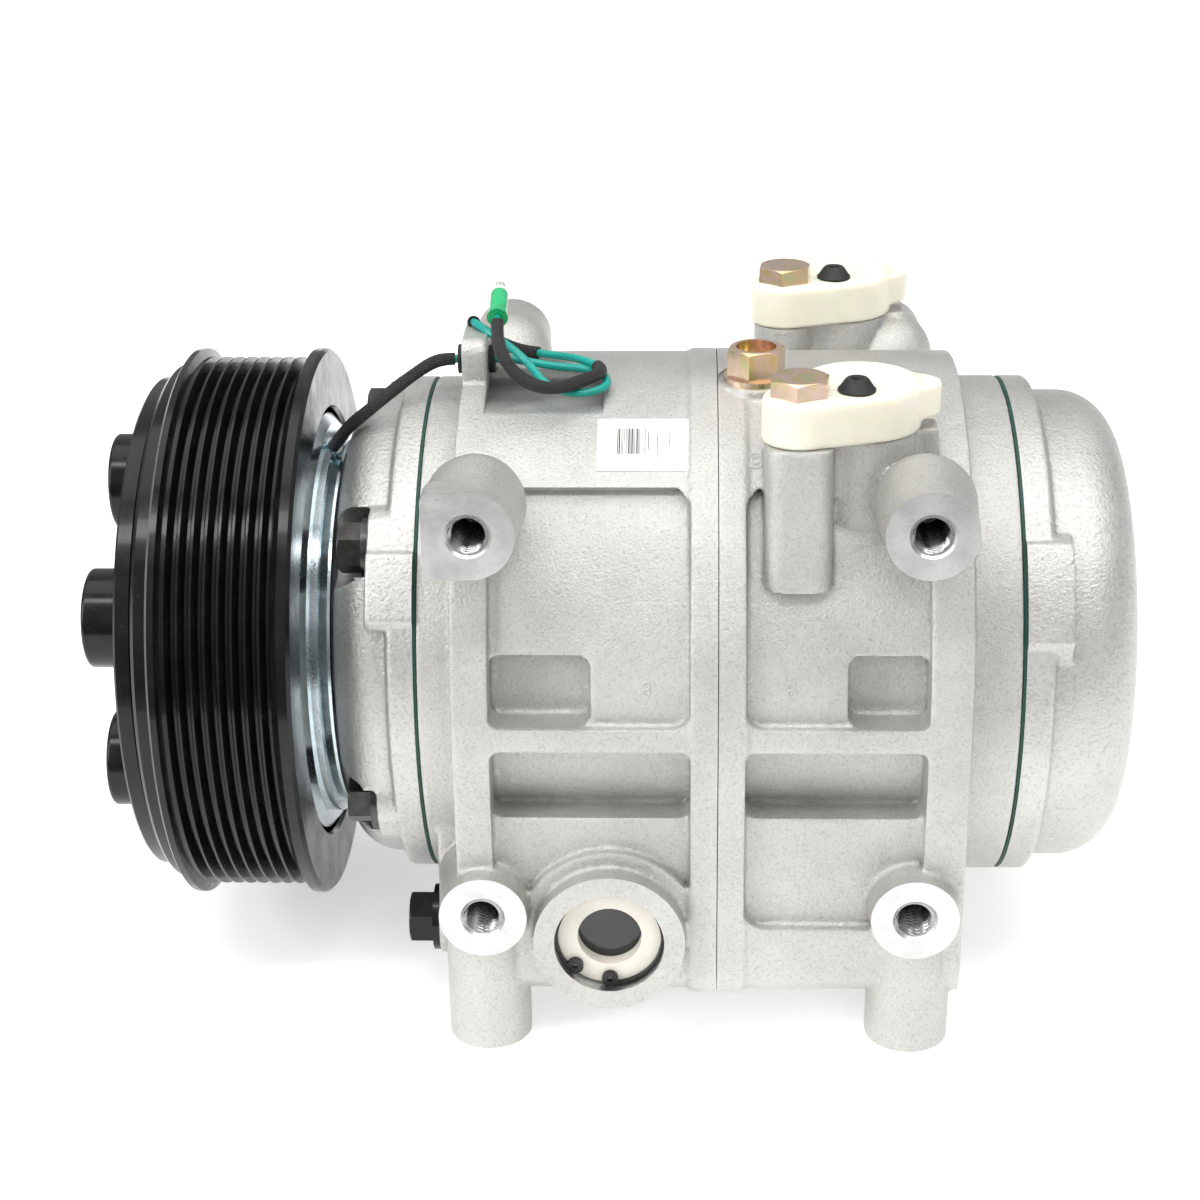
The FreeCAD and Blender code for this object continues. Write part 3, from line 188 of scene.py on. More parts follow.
def cylinder(bm, start, end, r0, r1=None, steps=64):
    """Add a closed cylinder or cone from start to end, both in millimetres."""
    r1 = r0 if r1 is None else r1
    start, end = Vector(start), Vector(end)
    axis = end - start
    turn = axis.to_track_quat("Z", "Y").to_matrix().to_4x4()
    place = Matrix.Translation((start + end) / 2 * MM) @ turn
    bmesh.ops.create_cone(bm, cap_ends=True, cap_tris=False, segments=steps, radius1=r0 * MM,
                          radius2=r1 * MM, depth=axis.length * MM, matrix=place)


def block(bm, low, high):
    low, high = Vector(low), Vector(high)
    size = high - low
    place = Matrix.Translation((low + high) / 2 * MM) @ Matrix.Diagonal((*(size * MM), 1))
    bmesh.ops.create_cube(bm, size=1.0, matrix=place)


def solids(name, build, material=None):
    """An object holding the closed shapes that build(bm) adds."""
    bm = bmesh.new()
    build(bm)
    mesh = bpy.data.meshes.new(name)
    bm.to_mesh(mesh)
    bm.free()
    return link(name, mesh, *([material] if material else []))


# ---- materials ----
def shader(name, **values):
    material = bpy.data.materials.new(name)
    material.use_nodes = True
    tree = material.node_tree
    bsdf = tree.nodes["Principled BSDF"]
    for key, value in values.items():
        bsdf.inputs[key.replace("_", " ")].default_value = value
    return material, tree, bsdf


def add(tree, kind, **values):
    node = tree.nodes.new(kind)
    for key, value in values.items():
        if hasattr(node, key):
            setattr(node, key, value)
        else:
            node.inputs[key.replace("_", " ")].default_value = value
    return node


def object_coords(tree, scale=(1, 1, 1)):
    coords = add(tree, "ShaderNodeTexCoord")
    mapping = add(tree, "ShaderNodeMapping")
    mapping.inputs["Scale"].default_value = scale
    tree.links.new(coords.outputs["Object"], mapping.inputs["Vector"])
    return mapping.outputs["Vector"]


def noise(tree, coords, scale, detail=3.0, rough=0.55):
    node = add(tree, "ShaderNodeTexNoise", Scale=scale, Detail=detail, Roughness=rough)
    tree.links.new(coords, node.inputs["Vector"])
    return node.outputs["Fac"]


def ramp(tree, value, stops):
    node = add(tree, "ShaderNodeValToRGB")
    elements = node.color_ramp.elements
    while len(elements) < len(stops):
        elements.new(0.5)
    for element, (place, colour) in zip(elements, stops):
        element.position = place
        element.color = (*colour, 1.0)
    tree.links.new(value, node.inputs["Fac"])
    return node.outputs["Color"]


def grey(*values):
    return [(v, v, v) for v in values]


def blend_colours(tree, a, b, factor, mode="MIX"):
    node = add(tree, "ShaderNodeMix", data_type="RGBA", blend_type=mode)
    for value, socket in ((factor, node.inputs["Factor"]), (a, node.inputs[6]),
                          (b, node.inputs[7])):
        if isinstance(value, bpy.types.NodeSocket):
            tree.links.new(value, socket)
        else:
            socket.default_value = value
    return node.outputs[2]


def bump(tree, bsdf, height, strength, distance, previous=None):
    node = add(tree, "ShaderNodeBump", Strength=strength, Distance=distance)
    tree.links.new(height, node.inputs["Height"])
    if previous is not None:
        tree.links.new(previous, node.inputs["Normal"])
    tree.links.new(node.outputs["Normal"], bsdf.inputs["Normal"])
    return node.outputs["Normal"]


def cast_aluminium(name, size, depth):
    """Matt castings with a fine broken skin and painted shade in their creases; size is the
    grain's scale, depth its relief.
    """
    material, tree, bsdf = shader(name, Metallic=0.75, Roughness=0.42)
    coords = object_coords(tree)
    clouds = noise(tree, coords, 38.0, 5.0, 0.6)
    base = ramp(tree, clouds, [(0.3, (0.52, 0.515, 0.49)), (0.7, (0.63, 0.625, 0.60))])
    grain = noise(tree, coords, size, 3.0, 0.75)
    speck = ramp(tree, grain, list(zip((0.33, 0.47, 0.66), grey(0.66, 0.95, 1.0))))
    skin = blend_colours(tree, base, speck, 0.75, "MULTIPLY")
    # Painted shade: where the surface is hollow (low pointiness), the base colour is darkened down
    # to 0.45 for the shade in creases and recesses.
    shape = add(tree, "ShaderNodeNewGeometry")
    crevice_shade = ramp(tree, shape.outputs["Pointiness"],
                list(zip((0.43, 0.485, 0.515, 0.57), grey(0.45, 0.95, 1.0, 1.0))))
    tree.links.new(blend_colours(tree, skin, crevice_shade, 1.0, "MULTIPLY"), bsdf.inputs["Base Color"])
    rough = ramp(tree, clouds, list(zip((0.3, 0.7), grey(0.38, 0.48))))
    tree.links.new(rough, bsdf.inputs["Roughness"])
    first = bump(tree, bsdf, grain, depth, 0.00035)
    dents = noise(tree, coords, 330.0, 3.0)
    bump(tree, bsdf, dents, 0.25, 0.0007, first)
    return material


def machined_aluminium():
    """Milled faces: fine cutter lines with a few stray scratches over a slow colour change."""
    material, tree, bsdf = shader("machined_aluminium", Metallic=1.0, Roughness=0.34)
    coords = object_coords(tree)
    clouds = noise(tree, coords, 130.0, 4.0)
    lines = noise(tree, object_coords(tree, (1.0, 1.0, 12.0)), 500.0, 3.0)
    scratches = noise(tree, object_coords(tree, (0.25, 1.0, 6.0)), 900.0, 2.0, 0.7)
    base = ramp(tree, clouds, [(0.3, (0.50, 0.50, 0.50)), (0.7, (0.68, 0.68, 0.67))])
    mark = ramp(tree, scratches, list(zip((0.30, 0.38, 0.62, 0.70), grey(0.7, 1.0, 1.0, 1.25))))
    tree.links.new(blend_colours(tree, base, mark, 0.8, "MULTIPLY"), bsdf.inputs["Base Color"])
    tree.links.new(ramp(tree, lines, list(zip((0.3, 0.7), grey(0.26, 0.42)))),
                   bsdf.inputs["Roughness"])
    bump(tree, bsdf, lines, 0.2, 0.00009)
    return material


def steel(name, low, high, roughness=0.28):
    material, tree, bsdf = shader(name, Metallic=1.0, Roughness=roughness)
    coords = object_coords(tree)
    clouds = noise(tree, coords, 260.0, 4.0)
    tree.links.new(ramp(tree, clouds, [(0.35, low), (0.65, high)]), bsdf.inputs["Base Color"])
    fine = noise(tree, coords, 2600.0, 2.0)
    tree.links.new(ramp(tree, fine, list(zip((0.3, 0.7), grey(roughness - 0.06,
                                                               roughness + 0.08)))),
                   bsdf.inputs["Roughness"])
    bump(tree, bsdf, fine, 0.12, 0.00005)
    return material


def yellow_zinc():
    material, tree, bsdf = shader("yellow_zinc", Metallic=1.0, Roughness=0.26)
    coords = object_coords(tree)
    tint = noise(tree, coords, 120.0, 2.0)
    base = ramp(tree, tint, [(0.34, (0.62, 0.66, 0.40)), (0.45, (0.80, 0.62, 0.32)),
                             (0.56, (0.85, 0.62, 0.55)), (0.68, (0.72, 0.60, 0.34))])
    tree.links.new(base, bsdf.inputs["Base Color"])
    fine = noise(tree, coords, 1500.0, 3.0)
    tree.links.new(ramp(tree, fine, list(zip((0.3, 0.7), grey(0.18, 0.27)))),
                   bsdf.inputs["Roughness"])
    bump(tree, bsdf, fine, 0.06, 0.00008)
    return material


def gloss_black(name, roughness=0.2):
    material, tree, bsdf = shader(name, Roughness=roughness)
    bsdf.inputs["Specular IOR Level"].default_value = 0.24
    bsdf.inputs["Coat Weight"].default_value = 0.13
    bsdf.inputs["Coat Roughness"].default_value = 0.06
    coords = object_coords(tree)
    clouds = noise(tree, coords, 120.0, 4.0)
    base = ramp(tree, clouds, list(zip((0.35, 0.7), grey(0.004, 0.009))))
    dust = ramp(tree, noise(tree, coords, 1900.0, 2.0, 0.7),
                list(zip((0.75, 0.775), grey(0.0, 1.0))))
    tree.links.new(blend_colours(tree, base, (0.25, 0.24, 0.22, 1.0), dust),
                   bsdf.inputs["Base Color"])
    tree.links.new(ramp(tree, clouds, list(zip((0.3, 0.7), grey(roughness - 0.05,
                                                                roughness + 0.1)))),
                   bsdf.inputs["Roughness"])
    bump(tree, bsdf, noise(tree, coords, 700.0, 2.0), 0.08, 0.0002)
    return material


def plain_soft(name, low, high, roughness, scale=900.0, depth=0.00015, strength=0.3, **extra):
    """Plastic, rubber or enamel: two close tones and a fine moulded surface."""
    material, tree, bsdf = shader(name, Roughness=roughness)
    for key, value in extra.items():
        bsdf.inputs[key.replace("_", " ")].default_value = value
    coords = object_coords(tree)
    tone = noise(tree, coords, 140.0, 4.0)
    tree.links.new(ramp(tree, tone, [(0.35, low), (0.65, high)]), bsdf.inputs["Base Color"])
    fine = noise(tree, coords, scale, 3.0)
    tree.links.new(ramp(tree, fine, list(zip((0.3, 0.7), grey(roughness - 0.06,
                                                              roughness + 0.08)))),
                   bsdf.inputs["Roughness"])
    bump(tree, bsdf, fine, strength, depth)
    return material


CAST = cast_aluminium("cast_aluminium", 1350.0, 1.0)
HEAD_CAST = cast_aluminium("coarse_cast_aluminium", 950.0, 1.0)
MACHINED = machined_aluminium()
STEEL = steel("ground_steel", (0.45, 0.45, 0.46), (0.58, 0.58, 0.59))
# Painted shade: the threads are coloured darker than the machined faces, for the shade down inside
# the tapped holes.
BORE_SHADED_THREAD = steel("thread_with_painted_bore_shade", (0.26, 0.26, 0.26), (0.36, 0.36, 0.36))
ZINC = steel("blue_zinc", (0.54, 0.62, 0.65), (0.64, 0.72, 0.75), 0.2)
POLISHED = steel("bearing_steel", (0.60, 0.60, 0.61), (0.70, 0.70, 0.71), 0.14)
YELLOW = yellow_zinc()
BLACK = gloss_black("black_gloss")
BOLT_BLACK = steel("black_oxide", (0.06, 0.058, 0.056), (0.10, 0.098, 0.095), 0.34)
RUBBER = plain_soft("black_rubber", (0.008, 0.008, 0.009), (0.016, 0.016, 0.017), 0.6)
CIRCLIP_BLACK = plain_soft("phosphated_steel", (0.012, 0.012, 0.012), (0.03, 0.03, 0.03), 0.35,
                           Metallic=0.4)
NYLON = plain_soft("off_white_nylon", (0.84, 0.81, 0.66), (0.88, 0.86, 0.72), 0.38,
                   strength=0.12, Subsurface_Weight=0.35, Subsurface_Scale=0.004)
RING_NYLON = plain_soft("ivory_ring", (0.74, 0.71, 0.62), (0.80, 0.77, 0.69), 0.4,
                        Subsurface_Weight=0.2, Subsurface_Scale=0.002)
GASKET = plain_soft("gasket_green", (0.003, 0.045, 0.03), (0.006, 0.065, 0.045), 0.6)
TEAL = plain_soft("teal_wire", (0.0, 0.30, 0.25), (0.004, 0.37, 0.31), 0.3)
GREEN = plain_soft("green_sleeve", (0.02, 0.50, 0.18), (0.05, 0.62, 0.26), 0.22,
                   Transmission_Weight=0.35, IOR=1.45)
CLEAR = plain_soft("clear_tip", (0.80, 0.84, 0.82), (0.88, 0.90, 0.88), 0.16,
                   Transmission_Weight=0.6, IOR=1.45)
COPPER = plain_soft("copper_winding", (0.45, 0.18, 0.08), (0.60, 0.26, 0.12), 0.35,
                    Metallic=0.8)
PAPER = plain_soft("white_label", (0.86, 0.86, 0.85), (0.92, 0.92, 0.91), 0.5)
INK = plain_soft("label_ink", (0.012, 0.012, 0.012), (0.03, 0.03, 0.03), 0.55)
# Painted shade: the sight glass is coloured near-black for the shade inside the housing seen
# through it.
GLASS = plain_soft("glass_painted_with_inner_shade", (0.006, 0.008, 0.007), (0.014, 0.017, 0.015), 0.12,
                   Coat_Weight=0.35, Coat_Roughness=0.03)


def braid():
    """Black woven sleeve: two crossing sets of strands run round and along it."""
    material, tree, bsdf = shader("black_braid", Roughness=0.5)
    uv = add(tree, "ShaderNodeUVMap", uv_map="UVMap")
    heights = []
    for turn in (1.0, -1.0):
        mapping = add(tree, "ShaderNodeMapping")
        mapping.inputs["Rotation"].default_value = (0, 0, turn * math.radians(45))
        tree.links.new(uv.outputs["UV"], mapping.inputs["Vector"])
        # At this scale 14 whole bands fit in the 12 units of U, so the weave meets itself.
        wave = add(tree, "ShaderNodeTexWave", wave_type="BANDS", bands_direction="X",
                   Scale=0.518, Distortion=0.1)
        tree.links.new(mapping.outputs["Vector"], wave.inputs["Vector"])
        heights.append(wave.outputs["Fac"])
    weave = blend_colours(tree, heights[0], heights[1], 1.0, "LIGHTEN")
    # Painted glints: the crests of the weave are coloured lighter than the rest of the black
    # strands.
    tree.links.new(ramp(tree, weave, list(zip((0.6, 0.9, 1.0), grey(0.003, 0.007, 0.06)))),
                   bsdf.inputs["Base Color"])
    bump(tree, bsdf, weave, 0.9, 0.0004)
    return material


BRAID = braid()

# ---- finish of the CAD nodes that stay as they are ----
FINISH = {
    GASKET: ("front_head_gasket", "rear_head_gasket"),
    STEEL: ("front_suction_reed", "rear_suction_reed", "front_valve_plate",
            "rear_valve_plate", "thrust_washers", "needle_bearings", "thrust_bearings",
            "dowel_pins", "drive_shaft", "swash_plate", "bearing_circlip", "coil_circlip",
            "seal_circlip", "piston_1", "piston_2", "piston_3",
            "piston_4", "piston_5"),
    POLISHED: ("armature_pins", "bearing_inner_race", "bearing_outer_race",
               "bearing_balls", "piston_shoes_1", "piston_shoes_2", "piston_shoes_3",
               "piston_shoes_4", "piston_shoes_5"),
    YELLOW: ("oil_plug", "cap_bolts", "hub_nut"),
    BOLT_BLACK: ("through_bolts",),
    BLACK: ("pulley", "armature_plate", "clutch_hub", "damper_cups", "drain_plug"),
    ZINC: ("coil_housing",),
    COPPER: ("coil_winding",),
    RUBBER: ("damper_rubbers", "shaft_seal", "block_seal_ring", "cap_stoppers",
             "lead_grommet"),
    NYLON: ("near_port_cap", "far_port_cap"),
    GLASS: ("sight_glass",),
    CIRCLIP_BLACK: ("sight_glass_circlip",),
    RING_NYLON: ("sight_glass_ring",),
    GREEN: ("connector_sleeve",),
    CLEAR: ("connector_tip",),
    PAPER: ("barcode_label",),
    CAST: ("front_cylinder_block", "rear_cylinder_block"),
    HEAD_CAST: ("front_head", "rear_head"),
}


def dress_cad():
    for material, names in FINISH.items():
        for name in names:
            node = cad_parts[name]
            for slot in node.material_slots:
                slot.material = material


dress_cad()

# ---- leads ----
COIL_LEAD = [
    (-101.6, -4.2, 147.3), (-99.5, -5.6, 150), (-97.2, -9.4, 153.8), (-93.6, -12.8, 157.8),
    (-89.4, -13.8, 161.4), (-85.6, -12.2, 164.2), (-81.6, -9.4, 166.8), (-77.2, -6.6, 169.4),
    (-73, -4.6, 171.6), (-69.4, -4, 172.4), (-65.8, -4, 172.4)]
CONNECTOR_LEAD = [
    (-55.8, -4, 172.4), (-52.2, -4, 172.4), (-48.4, -3.8, 171.8), (-44.2, -4.2, 171.1),
    (-39.8, -4.4, 170.4), (-34.8, -4.8, 170), (-30, -6.4, 170.2), (-26.4, -10, 170.4),
    (-24.6, -15.4, 170), (-24.8, -19.8, 169.6), (-28.4, -23.4, 169.2), (-33.6, -24.6, 169.2),
    (-38.4, -22.6, 170), (-42, -19, 170.8), (-44.4, -15.2, 172.6), (-47.4, -11.8, 175),
    (-51, -9.6, 177.4), (-54.8, -7.6, 179.4), (-59, -4.6, 181.4), (-62, 0.8, 181.6),
    (-62.4, 7, 179), (-59.8, 10.2, 175.4), (-55, 9.6, 172.4), (-49.6, 8, 171),
    (-44, 5.6, 170.8), (-38.2, 2.6, 171), (-32.8, -2.4, 171.8), (-27.4, -9.6, 172.2),
    (-26, -16.6, 172.4), (-30.6, -22.4, 172.4), (-35.8, -27, 171.8), (-41.4, -29, 172.2),
    (-46.6, -28.6, 174.4), (-50.6, -25.6, 177.4), (-53, -20.6, 180.2), (-54.2, -14.6, 182.8),
    (-54.5, -8, 185.2)]


def wire(name, route):
    data = bpy.data.curves.new(name, "CURVE")
    data.dimensions = "3D"
    spline = data.splines.new("NURBS")
    spline.points.add(len(route) - 1)
    for point, place in zip(spline.points, route):
        point.co = (*(Vector(place) * MM), 1.0)
        point.radius = WIRE_D / 2 * MM
    spline.order_u = 3
    spline.use_endpoint_u = True
    data.resolution_u = 12
    data.bevel_depth = 1.0
    data.bevel_resolution = 5
    data.use_fill_caps = True
    piece = bpy.data.objects.new(name, data)
    bpy.context.scene.collection.objects.link(piece)
    data.materials.append(TEAL)
    settle(piece, "housing", "teal_wire", name.replace("_wire", ""))
    return piece


def centreline(piece):
    """Points along a lead's own spline, evaluated with no bevel."""
    data = piece.data
    depth = data.bevel_depth
    data.bevel_depth = 0.0
    bpy.context.view_layer.update()
    graph = bpy.context.evaluated_depsgraph_get()
    mesh = bpy.data.meshes.new_from_object(piece.evaluated_get(graph), depsgraph=graph)
    points = [v.co.copy() for v in mesh.vertices]
    bpy.data.meshes.remove(mesh)
    data.bevel_depth = depth
    return points


def sleeve(name, points, radius=SLEEVE_R):
    """A closed braided tube round a stretch of lead; its UV map counts strands."""
    steps = 20
    bm = bmesh.new()
    uv = bm.loops.layers.uv.new("UVMap")
    side = Vector((0, 0, 1))
    rings = []
    reach = [0.0]
    for a, b in zip(points, points[1:]):
        reach.append(reach[-1] + (b - a).length)
    for k, point in enumerate(points):
        ahead = points[min(k + 1, len(points) - 1)] - points[max(k - 1, 0)]
        ahead.normalize()
        side = (side - ahead * side.dot(ahead)).normalized()
        other = ahead.cross(side)
        r = radius * MM * (1.0 + 0.03 * math.sin(reach[k] / 0.0021))
        ring = [bm.verts.new(point + (side * math.cos(t) + other * math.sin(t)) * r)
                for t in [2 * math.pi * i / steps for i in range(steps)]]
        rings.append(ring)
    for k, (a, b) in enumerate(zip(rings, rings[1:])):
        for i in range(steps):
            j = (i + 1) % steps
            face = bm.faces.new((a[i], a[j], b[j], b[i]))
            corners = ((i, k), (i + 1, k), (i + 1, k + 1), (i, k + 1))
            for loop, (u, v) in zip(face.loops, corners):
                loop[uv].uv = (u * STRANDS_ROUND / steps,
                               reach[v] / (2 * math.pi * radius * MM) * STRANDS_ROUND)
    bm.faces.new(rings[0][::-1])
    bm.faces.new(rings[-1])
    bmesh.ops.recalc_face_normals(bm, faces=bm.faces)
    mesh = bpy.data.meshes.new(name)
    bm.to_mesh(mesh)
    bm.free()
    piece = link(name, mesh, BRAID)
    smooth(piece)
    return settle(piece, "housing", "black_rubber")


coil_wire = wire("coil_lead_wire", COIL_LEAD)
long_wire = wire("connector_lead_wire", CONNECTOR_LEAD)
coil_line = centreline(coil_wire)
long_line = centreline(long_wire)
sleeve("coil_lead_braid", coil_line[:-2])
sleeve("long_lead_braid", long_line[int(len(long_line) * 0.76):-2])
sleeve("loop_braid", long_line[int(len(long_line) * 0.53):int(len(long_line) * 0.67)])

# ---- castings: softened copies of the CAD shapes, then machined ----
def hull_prism(bm, circles, z0, z1, steps=48):
    """The upright convex prism round some circles (x, y, radius)."""
    verts = []
    for x, y, r in circles:
        for i in range(steps):
            a = 2 * math.pi * i / steps
            for z in (z0, z1):
                verts.append(bm.verts.new(Vector((x + r * math.cos(a), y + r * math.sin(a), z))
                                          * MM))
    bmesh.ops.convex_hull(bm, input=verts)
    spare = [v for v in verts if not v.link_faces]
    bmesh.ops.delete(bm, geom=spare, context="VERTS")


def subtract(piece, name, build, surface):
    """Take one closed tool shape out of a casting; the cut faces get that surface."""
    tool = solids(name, build, surface)
    cut = piece.modifiers.new(name, "BOOLEAN")
    cut.operation = "DIFFERENCE"
    cut.solver = "MANIFOLD"
    cut.object = tool
    cut.material_mode = "TRANSFER"
    apply_modifiers(piece)
    bpy.data.objects.remove(tool)


def drop_chips(piece, fewest=500):
    """Delete the loose chips that a cutter can leave behind."""
    bm = bmesh.new()
    bm.from_mesh(piece.data)
    waiting = set(bm.verts)
    chips = []
    while waiting:
        island = {waiting.pop()}
        edge_of_island = list(island)
        while edge_of_island:
            near = {e.other_vert(v) for v in edge_of_island for e in v.link_edges}
            edge_of_island = list(near - island)
            island |= near
        waiting -= island
        if len(island) < fewest:
            chips += island
    bmesh.ops.delete(bm, geom=chips, context="VERTS")
    bm.to_mesh(piece.data)
    bm.free()


def welded(node):
    """A bmesh of one CAD node with its split corners joined."""
    bm = bmesh.new()
    bm.from_mesh(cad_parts[node].data)
    bmesh.ops.remove_doubles(bm, verts=bm.verts, dist=2e-6)
    return bm


def softened(name, bm, material, voxel, rounds, keep):
    """An object of that bmesh with a fresh even skin, rounded edges and fewer faces."""
    mesh = bpy.data.meshes.new(name)
    bm.to_mesh(mesh)
    bm.free()
    piece = link(name, mesh, material)
    remesh = piece.modifiers.new("remesh", "REMESH")
    remesh.mode = "VOXEL"
    remesh.voxel_size = voxel * MM
    soften = piece.modifiers.new("soften", "SMOOTH")
    soften.factor = 0.5
    soften.iterations = rounds
    thin = piece.modifiers.new("thin", "DECIMATE")
    thin.ratio = keep
    apply_modifiers(piece)
    return piece


def casting(node, skin, plugs, stock, tools, crisp=()):
    """Weld the CAD mesh, plug its holes, leave stock on machined planes, soften, machine.

    The crisp tools only sharpen a recess of the casting, so they leave its cast skin.
    """
    bm = welded(node)
    for axis, place, extra in stock:
        for v in bm.verts:
            if abs(v.co[axis] - place * MM) < 1e-5:
                v.co[axis] += extra * MM
    plugs(bm)
    piece = softened(node + "_cast", bm, skin, voxel=0.66, rounds=2, keep=0.45)
    for tool in crisp:
        subtract(piece, "recess", tool, skin)
    for tool in tools:
        subtract(piece, "machining", tool, MACHINED)
    drop_chips(piece)
    smooth(piece, 28.0)
    return settle(piece, "housing", "cast_aluminium", node)


def turned_tool(bm, profile, x, z, steps):
    """A closed tool turned about an axis along Y, from an open profile of (y, radius)."""
    rings = []
    for y, r in profile:
        rings.append([bm.verts.new(Vector((x + r * math.cos(t), y, z + r * math.sin(t))) * MM)
                      for t in [2 * math.pi * i / steps for i in range(steps)]])
    faces = [bm.faces.new(rings[0]), bm.faces.new(rings[-1][::-1])]
    for a, b in zip(rings, rings[1:]):
        for i in range(steps):
            j = (i + 1) % steps
            faces.append(bm.faces.new((a[j], a[i], b[i], b[j])))
    bmesh.ops.recalc_face_normals(bm, faces=faces)


def tapped(bm, x, z, side, radius=5.3, depth=24.0):
    """One tapped hole in a side boss, with its countersink."""
    face = side * SIDE_FACE_Y
    mouth = face - side * 0.7
    profile = ((face + side * 2.0, 7.7), (mouth, radius), (face - side * depth, radius))
    turned_tool(bm, profile, x, z, 48)


def bore_places():
    return [polar(BORE_PITCH_R, BOLT_ANGLE + STEP_ANGLE * (i + 0.5)) for i in range(5)]


def bolt_places():
    return [polar(BOLT_PITCH_R, BOLT_ANGLE + STEP_ANGLE * i) for i in range(5)]


def dowel_places():
    return [polar(DOWEL_PITCH_R, BOLT_ANGLE + turn) for turn in (10.0, 154.0)]


def bores(bm):
    for y, z in bore_places():
        cylinder(bm, (-80, y, z), (90, y, z), BORE_R, steps=96)
    for y, z in bolt_places():
        cylinder(bm, (-80, y, z), (90, y, z), BOLT_HOLE_R, steps=32)
    for y, z in dowel_places():
        cylinder(bm, (SEAM_X - 7, y, z), (SEAM_X + 7, y, z), DOWEL_R, steps=24)
    cylinder(bm, (-80, 0, AXIS_Z), (90, 0, AXIS_Z), SHAFT_HOLE_R, steps=64)


def chamber(bm):
    cylinder(bm, (SEAM_X - CHAMBER_HALF, 0, AXIS_Z), (SEAM_X + CHAMBER_HALF, 0, AXIS_Z), CHAMBER_R,
             steps=128)


def ring_tool(bm, x0, x1, outer, inner):
    mesh = around_x([(x0, outer), (x1, outer), (x1, inner), (x0, inner)], steps=96)
    bm.from_mesh(mesh)
    bpy.data.meshes.remove(mesh)


def half_casting(node, side, extra_plugs, extra_tools, crisp=()):
    """One half of the cylinder block; side is -1 for the front and 1 for the rear."""
    x = MOUNT_X * side
    outer = BLOCK_X0 if side < 0 else BLOCK_X1

    def plugs(bm):
        cylinder(bm, (outer + 2.0 * side, 0, AXIS_Z), (SEAM_X - 2.0 * side, 0, AXIS_Z), 66.0,
                 steps=96)
        cylinder(bm, (SEAM_X - 2.0 * side, 0, AXIS_Z), (SEAM_X + 6.8 * side, 0, AXIS_Z), 74.6,
                 steps=96)
        for flank in (-1, 1):
            for z in SIDE_Z:
                cylinder(bm, (x, flank * (SIDE_FACE_Y + STOCK), z), (x, flank * 56.0, z), 7.6)
            cylinder(bm, (x, flank * FOOT_Y, -STOCK), (x, flank * FOOT_Y, 22.0), 6.0)
        extra_plugs(bm)

    def flank_cut(flank):
        return lambda bm: block(bm, (-120, min(flank * SIDE_FACE_Y, flank * 120), -20),
                                (140, max(flank * SIDE_FACE_Y, flank * 120), 200))

    def seam_cut(bm):
        near, far = sorted((SEAM_X + SEAM_GAP * side, SEAM_X - 60.0 * side))
        block(bm, (near, -120, -20), (far, 120, 200))

    def holes(bm):
        for z in SIDE_Z:
            for flank in (-1, 1):
                tapped(bm, x, z, flank)
        for flank in (-1, 1):
            cylinder(bm, (x, flank * FOOT_Y, -3), (x, flank * FOOT_Y, 20), 5.3, steps=48)

    tools = [seam_cut, flank_cut(-1), flank_cut(1),
             lambda bm: block(bm, (-120, -120, -20), (140, 120, 0)),
             holes, chamber, bores,
             lambda bm: ring_tool(bm, SEAM_X - 1.0, SEAM_X + 1.0, 73.6, 71.8)]
    stock = [(0, SEAM_X, -2.0 * side), (1, -SIDE_FACE_Y, -STOCK), (1, SIDE_FACE_Y, STOCK),
             (2, 0.0, -STOCK)]
    return casting(node, CAST, plugs, stock, tools + extra_tools, crisp)


def front_extra(bm):
    x, z = SIGHT
    cylinder(bm, (x, -SIDE_FACE_Y - STOCK, z), (x, -60, z), 16.6)
    cylinder(bm, (LUG_X[0], *GROMMET), (LUG_X[1], *GROMMET), 4.4)
    cylinder(bm, (-71.8, *DRAIN), (-56, *DRAIN), 5.6)


def sight_bore(bm):
    """The stepped bore of the sight glass, with the groove for its circlip."""
    turned_tool(bm, SIGHT_BORE, *SIGHT, 96)


def lug_recess(bm):
    block(bm, RECESS_LOW, RECESS_HIGH)


def cast_sight_face(piece):
    """The flank is milled in one pass, but the sight glass boss keeps its cast face."""
    x, z = SIGHT
    for poly in piece.data.polygons:
        at = poly.center / MM
        if abs(at.y + SIDE_FACE_Y) < 0.05 and math.hypot(at.x - x, at.z - z) < SIGHT_BOSS_R:
            poly.material_index = 0


def front_small_holes(bm):
    cylinder(bm, (-68, *GROMMET), (-55, *GROMMET), 3.05, steps=32)
    cylinder(bm, (-74, *DRAIN), (-57, *DRAIN), PLUG_HOLE_R, steps=32)


def port_places():
    return [(PORT_BOLT[0], y, PORT_BOLT[0] + PORT_SHIFT[0], y + PORT_SHIFT[1])
            for y in (-PORT_BOLT[1], PORT_BOLT[1])]


def rear_extra(bm):
    for bolt_x, bolt_y, port_x, port_y in port_places():
        cylinder(bm, (bolt_x, bolt_y, 148), (bolt_x, bolt_y, PORT_TOP + STOCK), 5.0)
        cylinder(bm, (port_x, port_y, 152), (port_x, port_y, PORT_TOP + STOCK), 12.0)
    cylinder(bm, (*OIL, 150), (*OIL, OIL_SEAT_Z + STOCK), 6.0)


def pad_cut(bm):
    for bolt_x, bolt_y, port_x, port_y in port_places():
        hull_prism(bm, [(bolt_x, bolt_y, 10.1), (port_x, port_y, 16.4),
                        (port_x + CAP_NUB_SHIFT[0], port_y + CAP_NUB_SHIFT[1], 6.6)],
                   PORT_TOP, PORT_TOP + 25)
    cylinder(bm, (*OIL, OIL_SEAT_Z), (*OIL, 185), 10.4)


